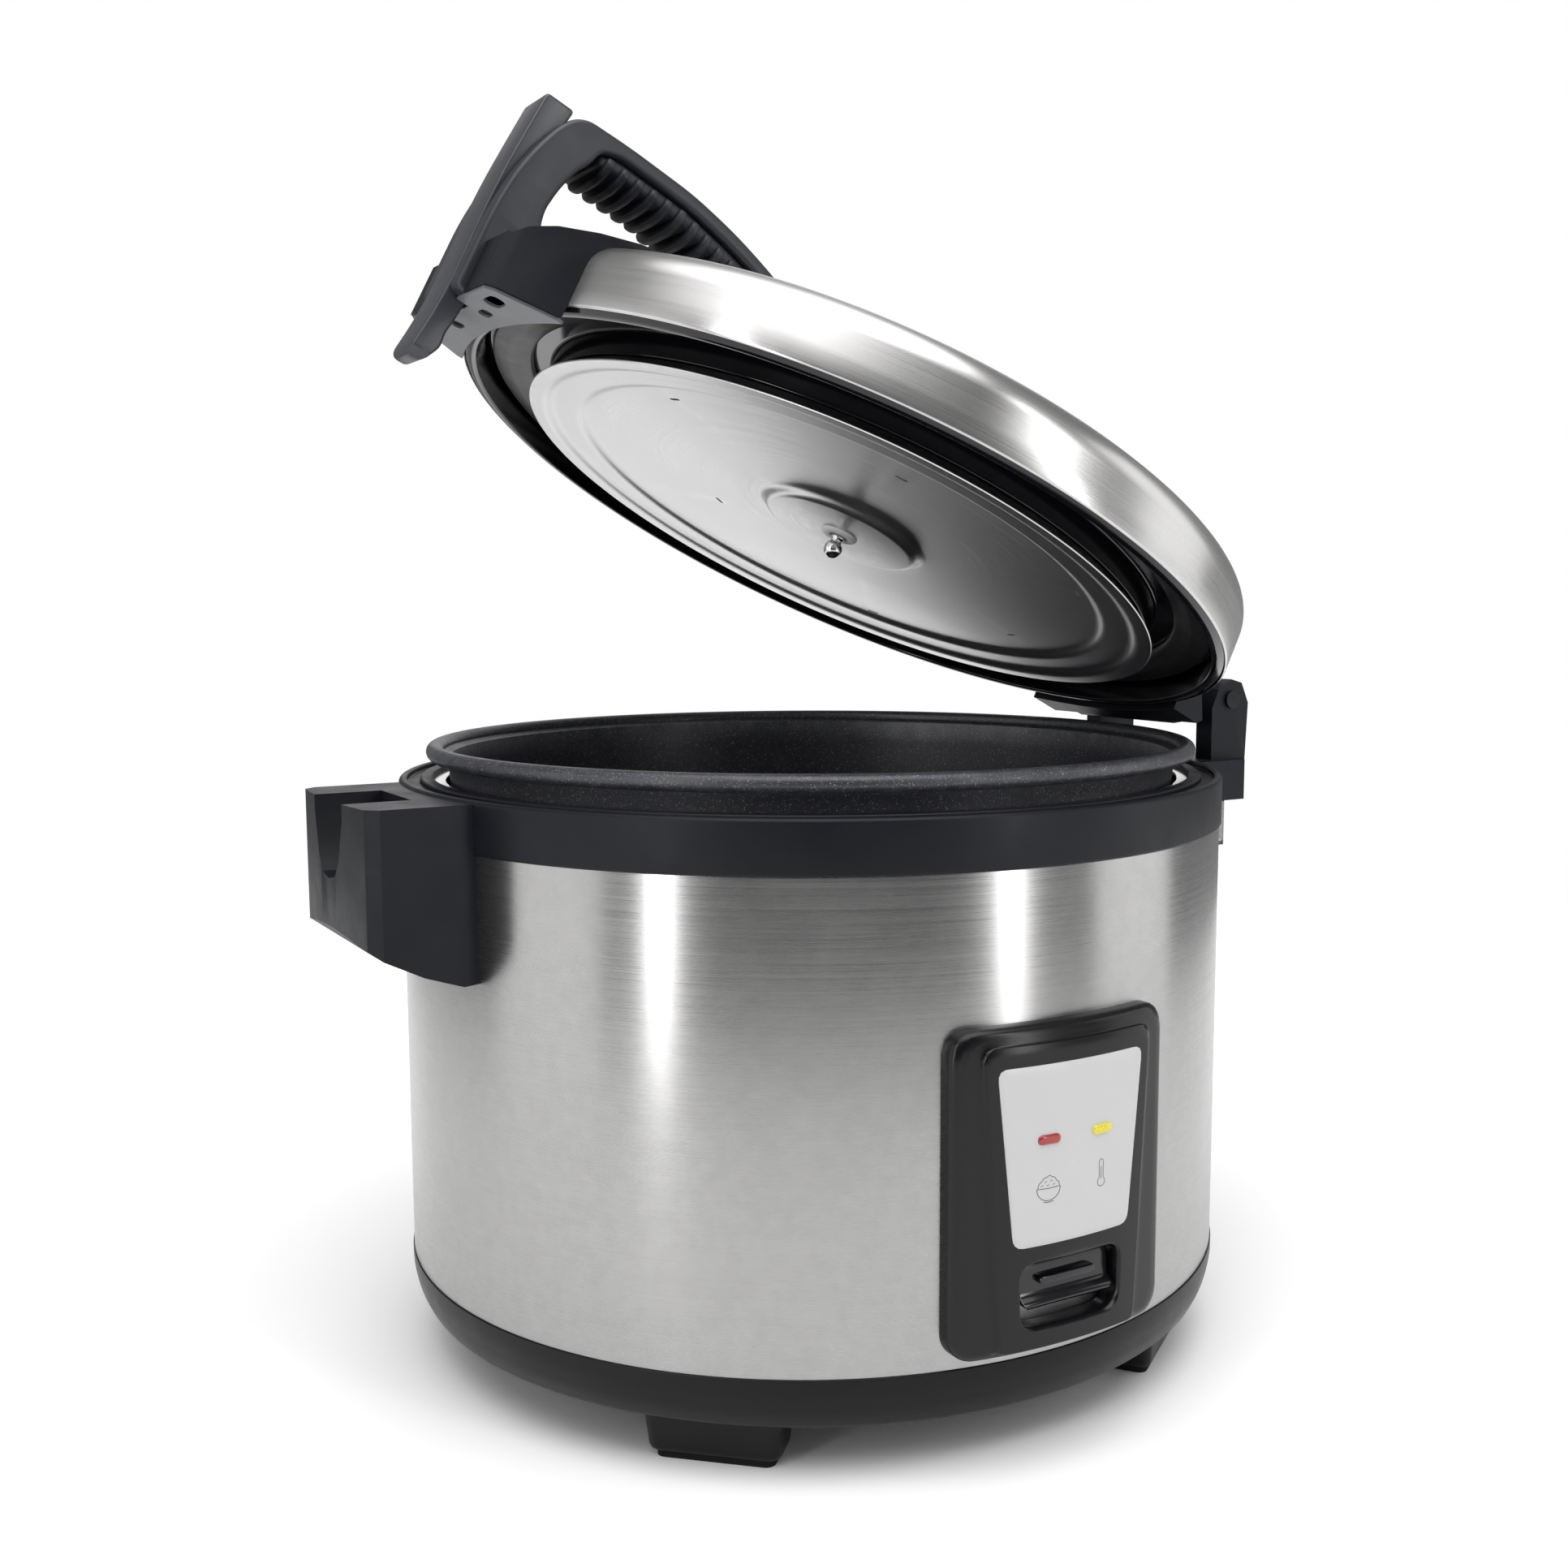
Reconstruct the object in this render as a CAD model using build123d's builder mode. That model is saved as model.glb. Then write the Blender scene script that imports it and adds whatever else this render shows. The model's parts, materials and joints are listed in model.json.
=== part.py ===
from build123d import *
import os
from math import cos, sin, radians, sqrt

os.makedirs("parts", exist_ok=True)

# ---------------------------------------------------------------- driving dimensions (mm)
R_SHELL = 190.0          # outer radius of the steel body
T_SHELL = 0.8            # steel sheet
Z_BASE = 21.9            # underside of the base ring, on its feet
Z_SHELL_LO = 44.7        # lower edge of the steel body
Z_SHELL_HI = 238.6       # upper edge of the steel body
Z_COLLAR = 260.7         # top of the plastic collar
R_COLLAR = 191.0

R_CASING = 170.2         # chamber that holds the pot
Z_CASING_LO = 58.0
Z_CASING_HI = 258.8
R_PLATE = 118.0          # heating plate
Z_PLATE_LO = 66.0
Z_PLATE_HI = 78.0        # the pot stands here

R_POT = 168.5            # pot wall, outside
T_POT = 2.0
R_RIM = 175.0            # centre line of the rolled rim
Z_RIM = 271.7
T_RIM = 3.8              # radius of the roll

PANEL_W = 104.0          # control bezel
PANEL_LO = 49.4
PANEL_HI = 179.4
LAMP_X = 13.0
LAMP_Z = 135.0
RECESS_W = 49.0
RECESS_LO = 59.0
RECESS_HI = 86.4

FOOT_R = 163.0
FOOT_ANGLES = (-44.0, 35.0, 136.0, -145.0)   # from -Y towards +X

BLOCK_W = 95.4           # latch block on the body
HINGE_X = 222.3          # lid hinge axis, parallel to Y
HINGE_Z = 287.9
PIN_R = 3.0
LID_OPEN = 27.1          # the lid stands this far open at rest, degrees

Z_DISH = 264.3           # edge of the inner lid, lid closed
R_DISH = 156.8
R_LID = 191.2            # steel lid, outside
LEVER_W = 24.6           # latch lever blade
VENT_X = 80.0            # steam vent in the lid
LATCH_X = -208.8         # latch lever pivot, lid closed
LATCH_Z = 302.0
HANDLE_W = 44.0

PIVOT_Y = -110.0         # cook lever pivot, parallel to X
PIVOT_Z = 36.0

# ---------------------------------------------------------------- planes
# The lid is drawn in its closed place and stands open: LID is that place after the
# turn about the hinge axis.
_c, _s = cos(radians(LID_OPEN)), sin(radians(LID_OPEN))
LID = Plane(
    origin=(HINGE_X - HINGE_X * _c - HINGE_Z * _s, 0, HINGE_Z + HINGE_X * _s - HINGE_Z * _c),
    x_dir=(_c, 0, -_s),
    z_dir=(_s, 0, _c),
)
LID_AXIS = Axis(LID.origin, LID.z_dir)


def lid_side(y):
    """Side-view plane (closed x across, closed z up) at this y, normal towards -Y."""
    return Plane(origin=LID.from_local_coords((0, y, 0)), x_dir=LID.x_dir, z_dir=(0, -1, 0))


def lid_top(z):
    """Plan-view plane at this closed height."""
    return Plane(origin=LID.from_local_coords((0, 0, z)), x_dir=LID.x_dir, z_dir=LID.z_dir)


def lid_front(x):
    """Front-view plane (y across, closed z up) at this closed x, normal towards the latch side."""
    return Plane(origin=LID.from_local_coords((x, 0, 0)), x_dir=(0, -1, 0), z_dir=-LID.x_dir)


def side(y):
    return Plane(origin=(0, y, 0), x_dir=(1, 0, 0), z_dir=(0, -1, 0))


def front(y):
    return Plane(origin=(0, y, 0), x_dir=(1, 0, 0), z_dir=(0, -1, 0))


def save(part, name):
    part.label = name
    export_step(part, f"parts/{name}.step")


# ================================================================ body: shells
with BuildPart() as outer_shell:
    with BuildSketch(Plane.XZ):
        with BuildLine():
            Polyline((R_SHELL - T_SHELL, Z_SHELL_LO), (R_SHELL, Z_SHELL_LO), (R_SHELL, Z_SHELL_HI),
                     (R_SHELL - T_SHELL, Z_SHELL_HI), close=True)
        make_face()
    revolve(axis=Axis.Z)
    with BuildSketch(front(-150)):          # window behind the control bezel
        with Locations((0, 113)):
            RectangleRounded(88, 114, 6)
    extrude(amount=60, mode=Mode.SUBTRACT)
    with BuildSketch(front(215)):           # window for the power inlet
        with Locations((0, 76)):
            RectangleRounded(34, 26, 3)
    extrude(amount=40, mode=Mode.SUBTRACT)
    with BuildSketch(Plane(origin=(-150, 0, 0), x_dir=(0, -1, 0), z_dir=(-1, 0, 0))):
        with Locations((-30, 222), (30, 222)):
            Circle(2.2)
    extrude(amount=60, mode=Mode.SUBTRACT)
save(outer_shell.part, "outer_shell")

with BuildPart() as base_ring:
    with BuildSketch(Plane.XZ):
        with BuildLine():
            Polyline((130, Z_BASE), (182.6, Z_BASE), (185.6, 23.6), (188.6, 29.5), (190.5, 38),
                     (190.5, Z_SHELL_LO), (189.1, Z_SHELL_LO), (189.1, 50), (187.2, 50), (187.2, 39),
                     (185.2, 31), (182.6, 26.6), (180, 24.4), (130, 24.4), close=True)
        make_face()
    revolve(axis=Axis.Z)
    with BuildSketch(Plane.XY.offset(Z_BASE)):
        with PolarLocations(135, 4, start_angle=20):
            Circle(2.0)
    extrude(amount=5, mode=Mode.SUBTRACT)
save(base_ring.part, "base_ring")

with BuildPart() as bottom_plate:
    with BuildSketch(Plane.XY.offset(24.4)):
        Circle(140)
        with PolarLocations(135, 4, start_angle=20):
            Circle(2.0, mode=Mode.SUBTRACT)
        with PolarLocations(62, 12):
            SlotOverall(34, 4, mode=Mode.SUBTRACT)
        with PolarLocations(105, 16, start_angle=11):
            SlotOverall(20, 4, mode=Mode.SUBTRACT)
    extrude(amount=1.2)
save(bottom_plate.part, "bottom_plate")

with BuildPart() as base_screws:
    for a in (20, 110, 200, 290):
        p = Plane(origin=(135 * cos(radians(a)), 135 * sin(radians(a)), 0))
        with BuildSketch(p.offset(Z_BASE - 2.0)):
            Circle(3.8)
        extrude(amount=2.0)
        with BuildSketch(p.offset(Z_BASE)):
            Circle(2.0)
        extrude(amount=6.5)
save(base_screws.part, "base_screws")

def foot_plane(a):
    """Plane on the table under the foot at this angle, x along the rim."""
    t = radians(a)
    return Plane(origin=(FOOT_R * sin(t), -FOOT_R * cos(t), 0), x_dir=(cos(t), sin(t), 0), z_dir=(0, 0, 1))


for i, a in enumerate(FOOT_ANGLES):
    here = foot_plane(a)
    with BuildPart() as foot:
        with BuildSketch(here.offset(3.0)):
            RectangleRounded(55, 22, 5)
        with BuildSketch(here.offset(Z_BASE)):
            RectangleRounded(58, 25, 5)
        loft()
    save(foot.part, f"foot_{i + 1}")

with BuildPart() as foot_pads:
    for a in FOOT_ANGLES:
        with BuildSketch(foot_plane(a)):
            RectangleRounded(49, 17, 4)
        extrude(amount=3.0)
save(foot_pads.part, "foot_pads")

with BuildPart() as collar:
    with BuildSketch(Plane.XZ):
        with BuildLine():
            Polyline((175.6, 252), (175.6, Z_COLLAR - 0.6), (176.2, Z_COLLAR), (181, Z_COLLAR),
                     (181.6, Z_COLLAR - 0.6), (181.6, 258.0), (187.4, 258.0), (187.4, Z_COLLAR - 0.5),
                     (187.9, Z_COLLAR), (189.8, Z_COLLAR), (R_COLLAR, Z_COLLAR - 1.2),
                     (R_COLLAR, Z_SHELL_HI), (189.15, Z_SHELL_HI), (189.15, 229), (186.6, 229),
                     (186.6, 252), close=True)
        make_face()
    revolve(axis=Axis.Z)
save(collar.part, "collar")

# ================================================================ body: latch block
with BuildPart() as latch_block:
    with BuildSketch(side(BLOCK_W / 2)):
        with BuildLine():
            Polyline((-180, 188.5), (-184, 186.6), (-190, 186.0), (-206, 191.5), (-222, 199.6), (-227.5, 203.6),
                     (-231, 209), (-231, 259.4), (-180, 259.4), close=True)
        make_face()
    extrude(amount=BLOCK_W)
    # bowed outer face
    with BuildSketch(Plane.XY.offset(180)):
        with BuildLine():
            Polyline((-224.5, 60), (-240, 60), (-240, -60), (-224.5, -60))
            ThreePointArc((-224.5, -60), (-229.8, 0), (-224.5, 60))
        make_face()
    extrude(amount=90, mode=Mode.SUBTRACT)
    corners = latch_block.edges().filter_by(Axis.Z).sort_by(Axis.X)[0:2]
    chamfer(corners, length=4.5)
    # the steel body and the collar pass behind it
    with BuildSketch(Plane.XY.offset(180)):
        Circle(R_SHELL)
    extrude(amount=Z_SHELL_HI - 180, mode=Mode.SUBTRACT)
    with BuildSketch(Plane.XY.offset(Z_SHELL_HI)):
        Circle(R_COLLAR)
    extrude(amount=30, mode=Mode.SUBTRACT)
    # moulded hollow, open towards the shell
    with BuildSketch(side(BLOCK_W / 2 - 3)):
        with BuildLine():
            Polyline((-180, 191), (-190, 189.3), (-205, 194.4), (-221, 202.4), (-221, 256.4), (-180, 256.4),
                     close=True)
        make_face()
    extrude(amount=BLOCK_W - 6, mode=Mode.SUBTRACT)
    # walls of the notch, put back inside the hollow
    with BuildSketch(Plane.YZ.offset(-226)):
        with BuildLine():
            Polyline((-24, 257), (-24, 244), (-17.5, 228.5), (-10, 224), (10, 224), (17.5, 228.5), (24, 244),
                     (24, 257), close=True)
        make_face()
    extrude(amount=28)
    # the notch: wide at its mouth, rounded at its foot
    with BuildSketch(Plane.YZ.offset(-240)):
        with BuildLine():
            Polyline((-20.5, 262), (-20, 252), (-14.2, 235), (-9, 228.8), (0, 227), (9, 228.8), (14.2, 235),
                     (20, 252), (20.5, 262), close=True)
        make_face()
    extrude(amount=39, mode=Mode.SUBTRACT)
    with BuildSketch(side(23.5)):           # bore for the catch pin
        with Locations((-203.8, 247)):
            Circle(2.0)
    extrude(amount=47, mode=Mode.SUBTRACT)
    for y in (-30, 30):                     # screw bosses against the shell
        with BuildSketch(Plane.YZ.offset(-221.5)):
            with Locations((y, 222)):
                Circle(5)
        extrude(amount=33.7)
        with BuildSketch(Plane.YZ.offset(-205)):
            with Locations((y, 222)):
                Circle(1.8)
        extrude(amount=30, mode=Mode.SUBTRACT)
    with BuildSketch(Plane.XY.offset(180)):
        Circle(R_SHELL)
    extrude(amount=Z_SHELL_HI - 180, mode=Mode.SUBTRACT)
save(latch_block.part, "latch_block")

with BuildPart() as catch_pin:
    with BuildSketch(side(23.5)):
        with Locations((-203.8, 247)):
            Circle(2.0)
    extrude(amount=47)
save(catch_pin.part, "catch_pin")

HEAD_X = 186.1           # the screw heads bear on the inside of the shell
with BuildPart() as latch_block_screws:
    for y in (-30, 30):
        with BuildSketch(Plane.YZ.offset(-204.5)):
            with Locations((y, 222)):
                Circle(1.8)
        extrude(amount=204.5 - HEAD_X)
        with BuildSketch(Plane.YZ.offset(-HEAD_X)):
            with Locations((y, 222)):
                Circle(3.8)
        extrude(amount=2.2)
save(latch_block_screws.part, "latch_block_screws")

# ================================================================ body: hinge side
with BuildPart() as hinge_housing:
    with BuildSketch(Plane.XY.offset(236.6)):
        with BuildLine():
            Polyline((176, -57), (226, -57), (232.5, -50), (232.5, 50), (226, 57), (176, 57), close=True)
        make_face()
    extrude(amount=20.6)
    with BuildSketch(side(50)):             # two ears carry the hinge pin
        with BuildLine():
            Polyline((209, 250), (232.5, 250), (234.3, 286), (229.5, 296.5), (222, 298.5), (213.5, 293.5),
                     (209, 284), close=True)
        make_face()
    extrude(amount=11.5)
    with BuildSketch(side(-38.5)):
        with BuildLine():
            Polyline((209, 250), (232.5, 250), (234.3, 286), (229.5, 296.5), (222, 298.5), (213.5, 293.5),
                     (209, 284), close=True)
        make_face()
    extrude(amount=11.5)
    with BuildSketch(Plane(origin=(HINGE_X, 60, HINGE_Z), x_dir=(1, 0, 0), z_dir=(0, -1, 0))):
        Circle(PIN_R)
    extrude(amount=120, mode=Mode.SUBTRACT)
    with BuildSketch(Plane.XY.offset(230)):
        Circle(R_SHELL)
    extrude(amount=Z_SHELL_HI - 230, mode=Mode.SUBTRACT)
    with BuildSketch(Plane.XY.offset(Z_SHELL_HI)):
        Circle(R_COLLAR)
    extrude(amount=30, mode=Mode.SUBTRACT)
    with BuildSketch(Plane.XY.offset(236.6)):          # hollow from below
        with Locations((211, 0)):
            Rectangle(36, 104)
    extrude(amount=17, mode=Mode.SUBTRACT)
    with BuildSketch(Plane.XY.offset(250)):            # drain for condensate
        with Locations((203, 0)):
            Circle(3.0)
    extrude(amount=10, mode=Mode.SUBTRACT)
save(hinge_housing.part, "hinge_housing")

with BuildPart() as hinge_pin:
    with BuildSketch(Plane(origin=(HINGE_X, 51, HINGE_Z), x_dir=(1, 0, 0), z_dir=(0, -1, 0))):
        Circle(PIN_R)
    extrude(amount=102)
    with BuildSketch(Plane(origin=(HINGE_X, -50, HINGE_Z), x_dir=(1, 0, 0), z_dir=(0, -1, 0))):
        Circle(4.6)
    extrude(amount=1.6)
save(hinge_pin.part, "hinge_pin")

with BuildPart() as hinge_springs:
    with BuildLine():
        coil = Helix(pitch=2.6, height=13.0, radius=4.8, center=(HINGE_X, 3.5, HINGE_Z), direction=(0, 1, 0))
    with BuildSketch(Plane(origin=coil @ 0, z_dir=coil % 0)):
        Circle(0.9)
    sweep(is_frenet=True)
    mirror(about=Plane.XZ)
save(hinge_springs.part, "hinge_springs")

with BuildPart() as cup_bracket:
    with BuildSketch(side(46)):
        with BuildLine():
            Polyline((170, 197), (196, 197), (207, 203), (212, 209), (212, 213), (170, 213), close=True)
        make_face()
    extrude(amount=92)
    with BuildSketch(Plane.XY.offset(190)):
        Circle(R_SHELL)
    extrude(amount=30, mode=Mode.SUBTRACT)
save(cup_bracket.part, "cup_bracket")

with BuildPart() as condensate_cup:
    with BuildSketch(Plane.XY.offset(213.0)):
        with BuildLine():
            Polyline((170, -53), (216, -53), (220.4, -48.6), (220.4, 48.6), (216, 53), (170, 53), close=True)
        make_face()
    extrude(amount=22.6)
    with BuildSketch(Plane.XY.offset(200)):
        Circle(R_SHELL + 0.6)
    extrude(amount=50, mode=Mode.SUBTRACT)
    with BuildSketch(Plane.XY.offset(214.8)):
        with BuildLine():
            Polyline((170, -51.2), (215.2, -51.2), (218.6, -47.8), (218.6, 47.8), (215.2, 51.2), (170, 51.2),
                     close=True)
        make_face()
        Circle(R_SHELL + 2.4, mode=Mode.SUBTRACT)
    extrude(amount=30, mode=Mode.SUBTRACT)
save(condensate_cup.part, "condensate_cup")

# ================================================================ body: chamber and heating
with BuildPart() as inner_casing:
    with BuildSketch(Plane.XZ):
        with BuildLine():
            Polyline((84, Z_CASING_LO), (R_CASING + 0.8, Z_CASING_LO), (R_CASING + 0.8, Z_CASING_HI - 0.8),
                     (175.6, Z_CASING_HI - 0.8), (175.6, Z_CASING_HI), (R_CASING + 0.5, Z_CASING_HI),
                     (R_CASING, Z_CASING_HI - 0.5), (R_CASING, Z_CASING_LO + 0.8), (84, Z_CASING_LO + 0.8),
                     close=True)
        make_face()
    revolve(axis=Axis.Z)
save(inner_casing.part, "inner_casing")

with BuildPart() as casing_stands:
    with BuildSketch(Plane.XY.offset(24.4)):
        with PolarLocations(156, 4, start_angle=45):
            Circle(6)
    extrude(amount=Z_CASING_LO - 24.4)
save(casing_stands.part, "casing_stands")

with BuildPart() as heating_plate:
    with BuildSketch(Plane.XZ):
        with BuildLine():
            Polyline((20, Z_PLATE_LO), (R_PLATE - 6, Z_PLATE_LO), (R_PLATE, Z_PLATE_LO + 5),
                     (R_PLATE, Z_PLATE_HI - 2), (R_PLATE - 2, Z_PLATE_HI), (20, Z_PLATE_HI), close=True)
        make_face()
    revolve(axis=Axis.Z)
    with BuildSketch(Plane.XY.offset(Z_CASING_LO + 0.8)):
        with PolarLocations(100, 3, start_angle=90):
            Circle(5)
    extrude(amount=Z_PLATE_LO - Z_CASING_LO - 0.8)
save(heating_plate.part, "heating_plate")

with BuildPart() as heater_element:
    with BuildSketch(Plane.XZ):
        with Locations((72, 62.4)):
            Circle(3.6)
    revolve(axis=Axis.Z, revolution_arc=300)
    with BuildSketch(Plane.XY.offset(46)):
        with Locations((72, 0), (72 * cos(radians(300)), 72 * sin(radians(300)))):
            Circle(2.4)
    extrude(amount=16.4)
save(heater_element.part, "heater_element")

with BuildPart() as sidewall_heater:
    with BuildSketch(Plane.XZ):
        with Locations((R_CASING + 1.5, 205)):
            Rectangle(1.4, 36)
    revolve(axis=Axis.Z)
save(sidewall_heater.part, "sidewall_heater")

with BuildPart() as insulation_sleeve:
    with BuildSketch(Plane.XZ):
        with BuildLine():
            Polyline((R_CASING + 0.8, 64), (180.5, 64), (180.5, 186), (R_CASING + 0.8, 186), close=True)
        make_face()
    revolve(axis=Axis.Z)
    with BuildSketch(front(-120)):
        with Locations((0, 112)):
            Rectangle(96, 130)
    extrude(amount=80, mode=Mode.SUBTRACT)
    with BuildSketch(front(220)):
        with Locations((0, 80)):
            Rectangle(60, 60)
    extrude(amount=70, mode=Mode.SUBTRACT)
save(insulation_sleeve.part, "insulation_sleeve")

with BuildPart() as sensor_bracket:
    with BuildSketch(Plane.XY.offset(Z_CASING_LO - 1.2)):
        Rectangle(46, 200)
        Circle(10.4, mode=Mode.SUBTRACT)
    extrude(amount=1.2)
save(sensor_bracket.part, "sensor_bracket")

with BuildPart() as sensor_plunger:
    with BuildSketch(Plane.XZ):
        with BuildLine():
            Polyline((14.6, 62), (18.6, 62), (18.6, 63.2), (16, 63.2), (16, 77.4), (15.4, Z_PLATE_HI),
                     (0, Z_PLATE_HI), (0, 76.6), (14.6, 76.6), close=True)
        make_face()
    revolve(axis=Axis.Z)
save(sensor_plunger.part, "sensor_plunger")

with BuildPart() as sensor_spring:
    with BuildLine(Plane.XY.offset(58.6)):
        turns = Helix(pitch=1.4, height=2.8, radius=16.6)
    with BuildSketch(Plane(origin=turns @ 0, z_dir=turns % 0)):
        Circle(0.5)
    sweep(is_frenet=True)
save(sensor_spring.part, "sensor_spring")

with BuildPart() as thermostat_magnet:
    with BuildSketch(Plane.XY.offset(38)):
        Circle(10)
    extrude(amount=16)
    fillet(thermostat_magnet.edges().group_by(Axis.Z)[-1], 1.0)
save(thermostat_magnet.part, "thermostat_magnet")

with BuildPart() as thermal_fuse:
    with BuildSketch(Plane(origin=(0, 110, 55), x_dir=(0, 1, 0), z_dir=(1, 0, 0))):
        Circle(3.0)
    extrude(amount=16, both=True)
save(thermal_fuse.part, "thermal_fuse")

with BuildPart() as terminal_block:
    with BuildSketch(Plane.XY.offset(25.6)):
        with Locations((40, 110)):
            Rectangle(46, 18)
    extrude(amount=14)
    with BuildSketch(Plane.XY.offset(33)):
        with Locations((25, 110), (40, 110), (55, 110)):
            Circle(3)
    extrude(amount=10, mode=Mode.SUBTRACT)
save(terminal_block.part, "terminal_block")

# ================================================================ body: control panel
with BuildPart() as control_bezel:
    with BuildSketch(front(-150)):
        with Locations((0, (PANEL_LO + PANEL_HI) / 2)):
            RectangleRounded(PANEL_W, PANEL_HI - PANEL_LO, 10)
    extrude(amount=60)
    with BuildSketch(Plane.XY.offset(40)):
        Circle(240)
        Circle(R_SHELL + 8.4, mode=Mode.SUBTRACT)
    extrude(amount=160, mode=Mode.SUBTRACT)
    with BuildSketch(Plane.XY.offset(40)):
        Circle(R_SHELL)
    extrude(amount=160, mode=Mode.SUBTRACT)
    fillet(control_bezel.faces().sort_by(Axis.Y)[0].edges(), 2.2)
    # raised centre field that the label lies on
    with BuildSketch(front(-170)):
        with BuildLine():
            Polyline((-41.5, 171), (41.5, 171), (33, 56), (-33, 56), close=True)
        make_face()
        fillet(vertices(), 7)
    extrude(amount=28.2 + 1.4)
    with BuildSketch(Plane.XY.offset(40)):
        Circle(240)
        Circle(R_SHELL + 9.6, mode=Mode.SUBTRACT)
    extrude(amount=160, mode=Mode.SUBTRACT)
    # hollow back, over the window in the shell
    with BuildSketch(Plane.XY.offset(54)):
        with BuildLine():
            Polyline((-47, -150), (47, -150), (47, -230), (-47, -230), close=True)
        make_face()
        Circle(R_SHELL + 6.0, mode=Mode.INTERSECT)
    extrude(amount=119, mode=Mode.SUBTRACT)
    with BuildSketch(front(-184)):          # posts that carry the lamp board
        with Locations((-30, LAMP_Z), (30, LAMP_Z)):
            Circle(3.2)
    extrude(amount=11)
    with BuildSketch(front(-150)):
        with Locations((-LAMP_X, LAMP_Z), (LAMP_X, LAMP_Z)):
            SlotOverall(10.4, 3.8)
        with Locations((0, (RECESS_LO + RECESS_HI) / 2)):
            RectangleRounded(RECESS_W, RECESS_HI - RECESS_LO, 7)
    extrude(amount=60, mode=Mode.SUBTRACT)
save(control_bezel.part, "control_bezel")

with BuildPart() as label_plate:
    with BuildSketch(front(-170)):
        with BuildLine():
            Polyline((-35.5, 164.4), (35.5, 164.4), (28.2, 93.2), (-28.2, 93.2), close=True)
        make_face()
        fillet(vertices(), 4.5)
    extrude(amount=40)
    with BuildSketch(Plane.XY.offset(40)):
        Circle(240)
        Circle(R_SHELL + 10.1, mode=Mode.SUBTRACT)
    extrude(amount=160, mode=Mode.SUBTRACT)
    with BuildSketch(Plane.XY.offset(40)):
        Circle(R_SHELL + 9.6)
    extrude(amount=160, mode=Mode.SUBTRACT)
    with BuildSketch(front(-150)):
        with Locations((-LAMP_X, LAMP_Z), (LAMP_X, LAMP_Z)):
            SlotOverall(10.4, 3.8)
    extrude(amount=60, mode=Mode.SUBTRACT)
save(label_plate.part, "label_plate")

for name, x in (("cook_lamp_lens", -LAMP_X), ("warm_lamp_lens", LAMP_X)):
    with BuildPart() as lens:
        with BuildSketch(front(-193)):
            with Locations((x, LAMP_Z)):
                SlotOverall(10.4, 3.8)
        extrude(amount=7.5)
    save(lens.part, name)

with BuildPart() as lamp_board:
    with BuildSketch(front(-182.4)):
        with Locations((0, LAMP_Z)):
            Rectangle(70, 22)
    extrude(amount=1.6)
save(lamp_board.part, "lamp_board")

# ================================================================ cook lever
with BuildPart() as cook_lever:
    with BuildSketch(Plane(origin=(-9, 0, 0), x_dir=(0, 1, 0), z_dir=(1, 0, 0))):
        with BuildLine():               # bent arm, from under the sensor to the paddle
            Polyline((3, 34.6), (3, 37.6), (-104, 37.6), (-104, 41.5), (-116, 41.5), (-116, 37.6),
                     (-175.5, 37.6), (-175.5, 79), (-190, 79), (-190, 76), (-178.5, 76), (-178.5, 34.6),
                     (-116, 34.6), (-116, 31), (-104, 31), (-104, 34.6), close=True)
        make_face()
    extrude(amount=18)
    with BuildSketch(Plane(origin=(-10, PIVOT_Y, PIVOT_Z), x_dir=(0, 1, 0), z_dir=(1, 0, 0))):
        Circle(2.05)
    extrude(amount=20, mode=Mode.SUBTRACT)
    with BuildSketch(Plane(origin=(-22.4, 0, 0), x_dir=(0, 1, 0), z_dir=(1, 0, 0))):
        with BuildLine():               # paddle: raised bar above, lip below
            Polyline((-189, 84), (-195.2, 84), (-195.6, 79.5), (-198.2, 79.2), (-198.4, 77), (-195.4, 76),
                     (-194.0, 71), (-196.6, 67.6), (-196.0, 66), (-189, 66), close=True)
        make_face()
    extrude(amount=44.8)
    with BuildSketch(front(-188.5)):        # lower corners rounded, to clear those of the recess
        with Locations((-19.4, 69), (19.4, 69)):
            Rectangle(6.2, 6.2)
        with Locations((-16.4, 72), (16.4, 72)):
            Circle(6, mode=Mode.SUBTRACT)
    extrude(amount=12, mode=Mode.SUBTRACT)
save(cook_lever.part, "cook_lever")

with BuildPart() as switch_bracket:
    for x in (-11.6, 10.1):
        with BuildSketch(Plane(origin=(x, 0, 0), x_dir=(0, 1, 0), z_dir=(1, 0, 0))):
            with BuildLine():
                Polyline((-122, 25.6), (-98, 25.6), (-104, 43), (-116, 43), close=True)
            make_face()
        extrude(amount=1.5)
    with BuildSketch(Plane.XY.offset(25.6)):
        with Locations((0, -110)):
            Rectangle(23.2, 24)
    extrude(amount=1.2)
    with BuildSketch(Plane(origin=(-14, PIVOT_Y, PIVOT_Z), x_dir=(0, 1, 0), z_dir=(1, 0, 0))):
        Circle(2.0)
    extrude(amount=28, mode=Mode.SUBTRACT)
save(switch_bracket.part, "switch_bracket")

with BuildPart() as lever_pivot_pin:
    with BuildSketch(Plane(origin=(-13, PIVOT_Y, PIVOT_Z), x_dir=(0, 1, 0), z_dir=(1, 0, 0))):
        Circle(2.0)
    extrude(amount=26)
save(lever_pivot_pin.part, "lever_pivot_pin")

with BuildPart() as micro_switch:
    with BuildSketch(Plane.XY.offset(25.6)):
        with Locations((22, -122)):
            Rectangle(10, 28)
    extrude(amount=16)
save(micro_switch.part, "micro_switch")

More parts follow.
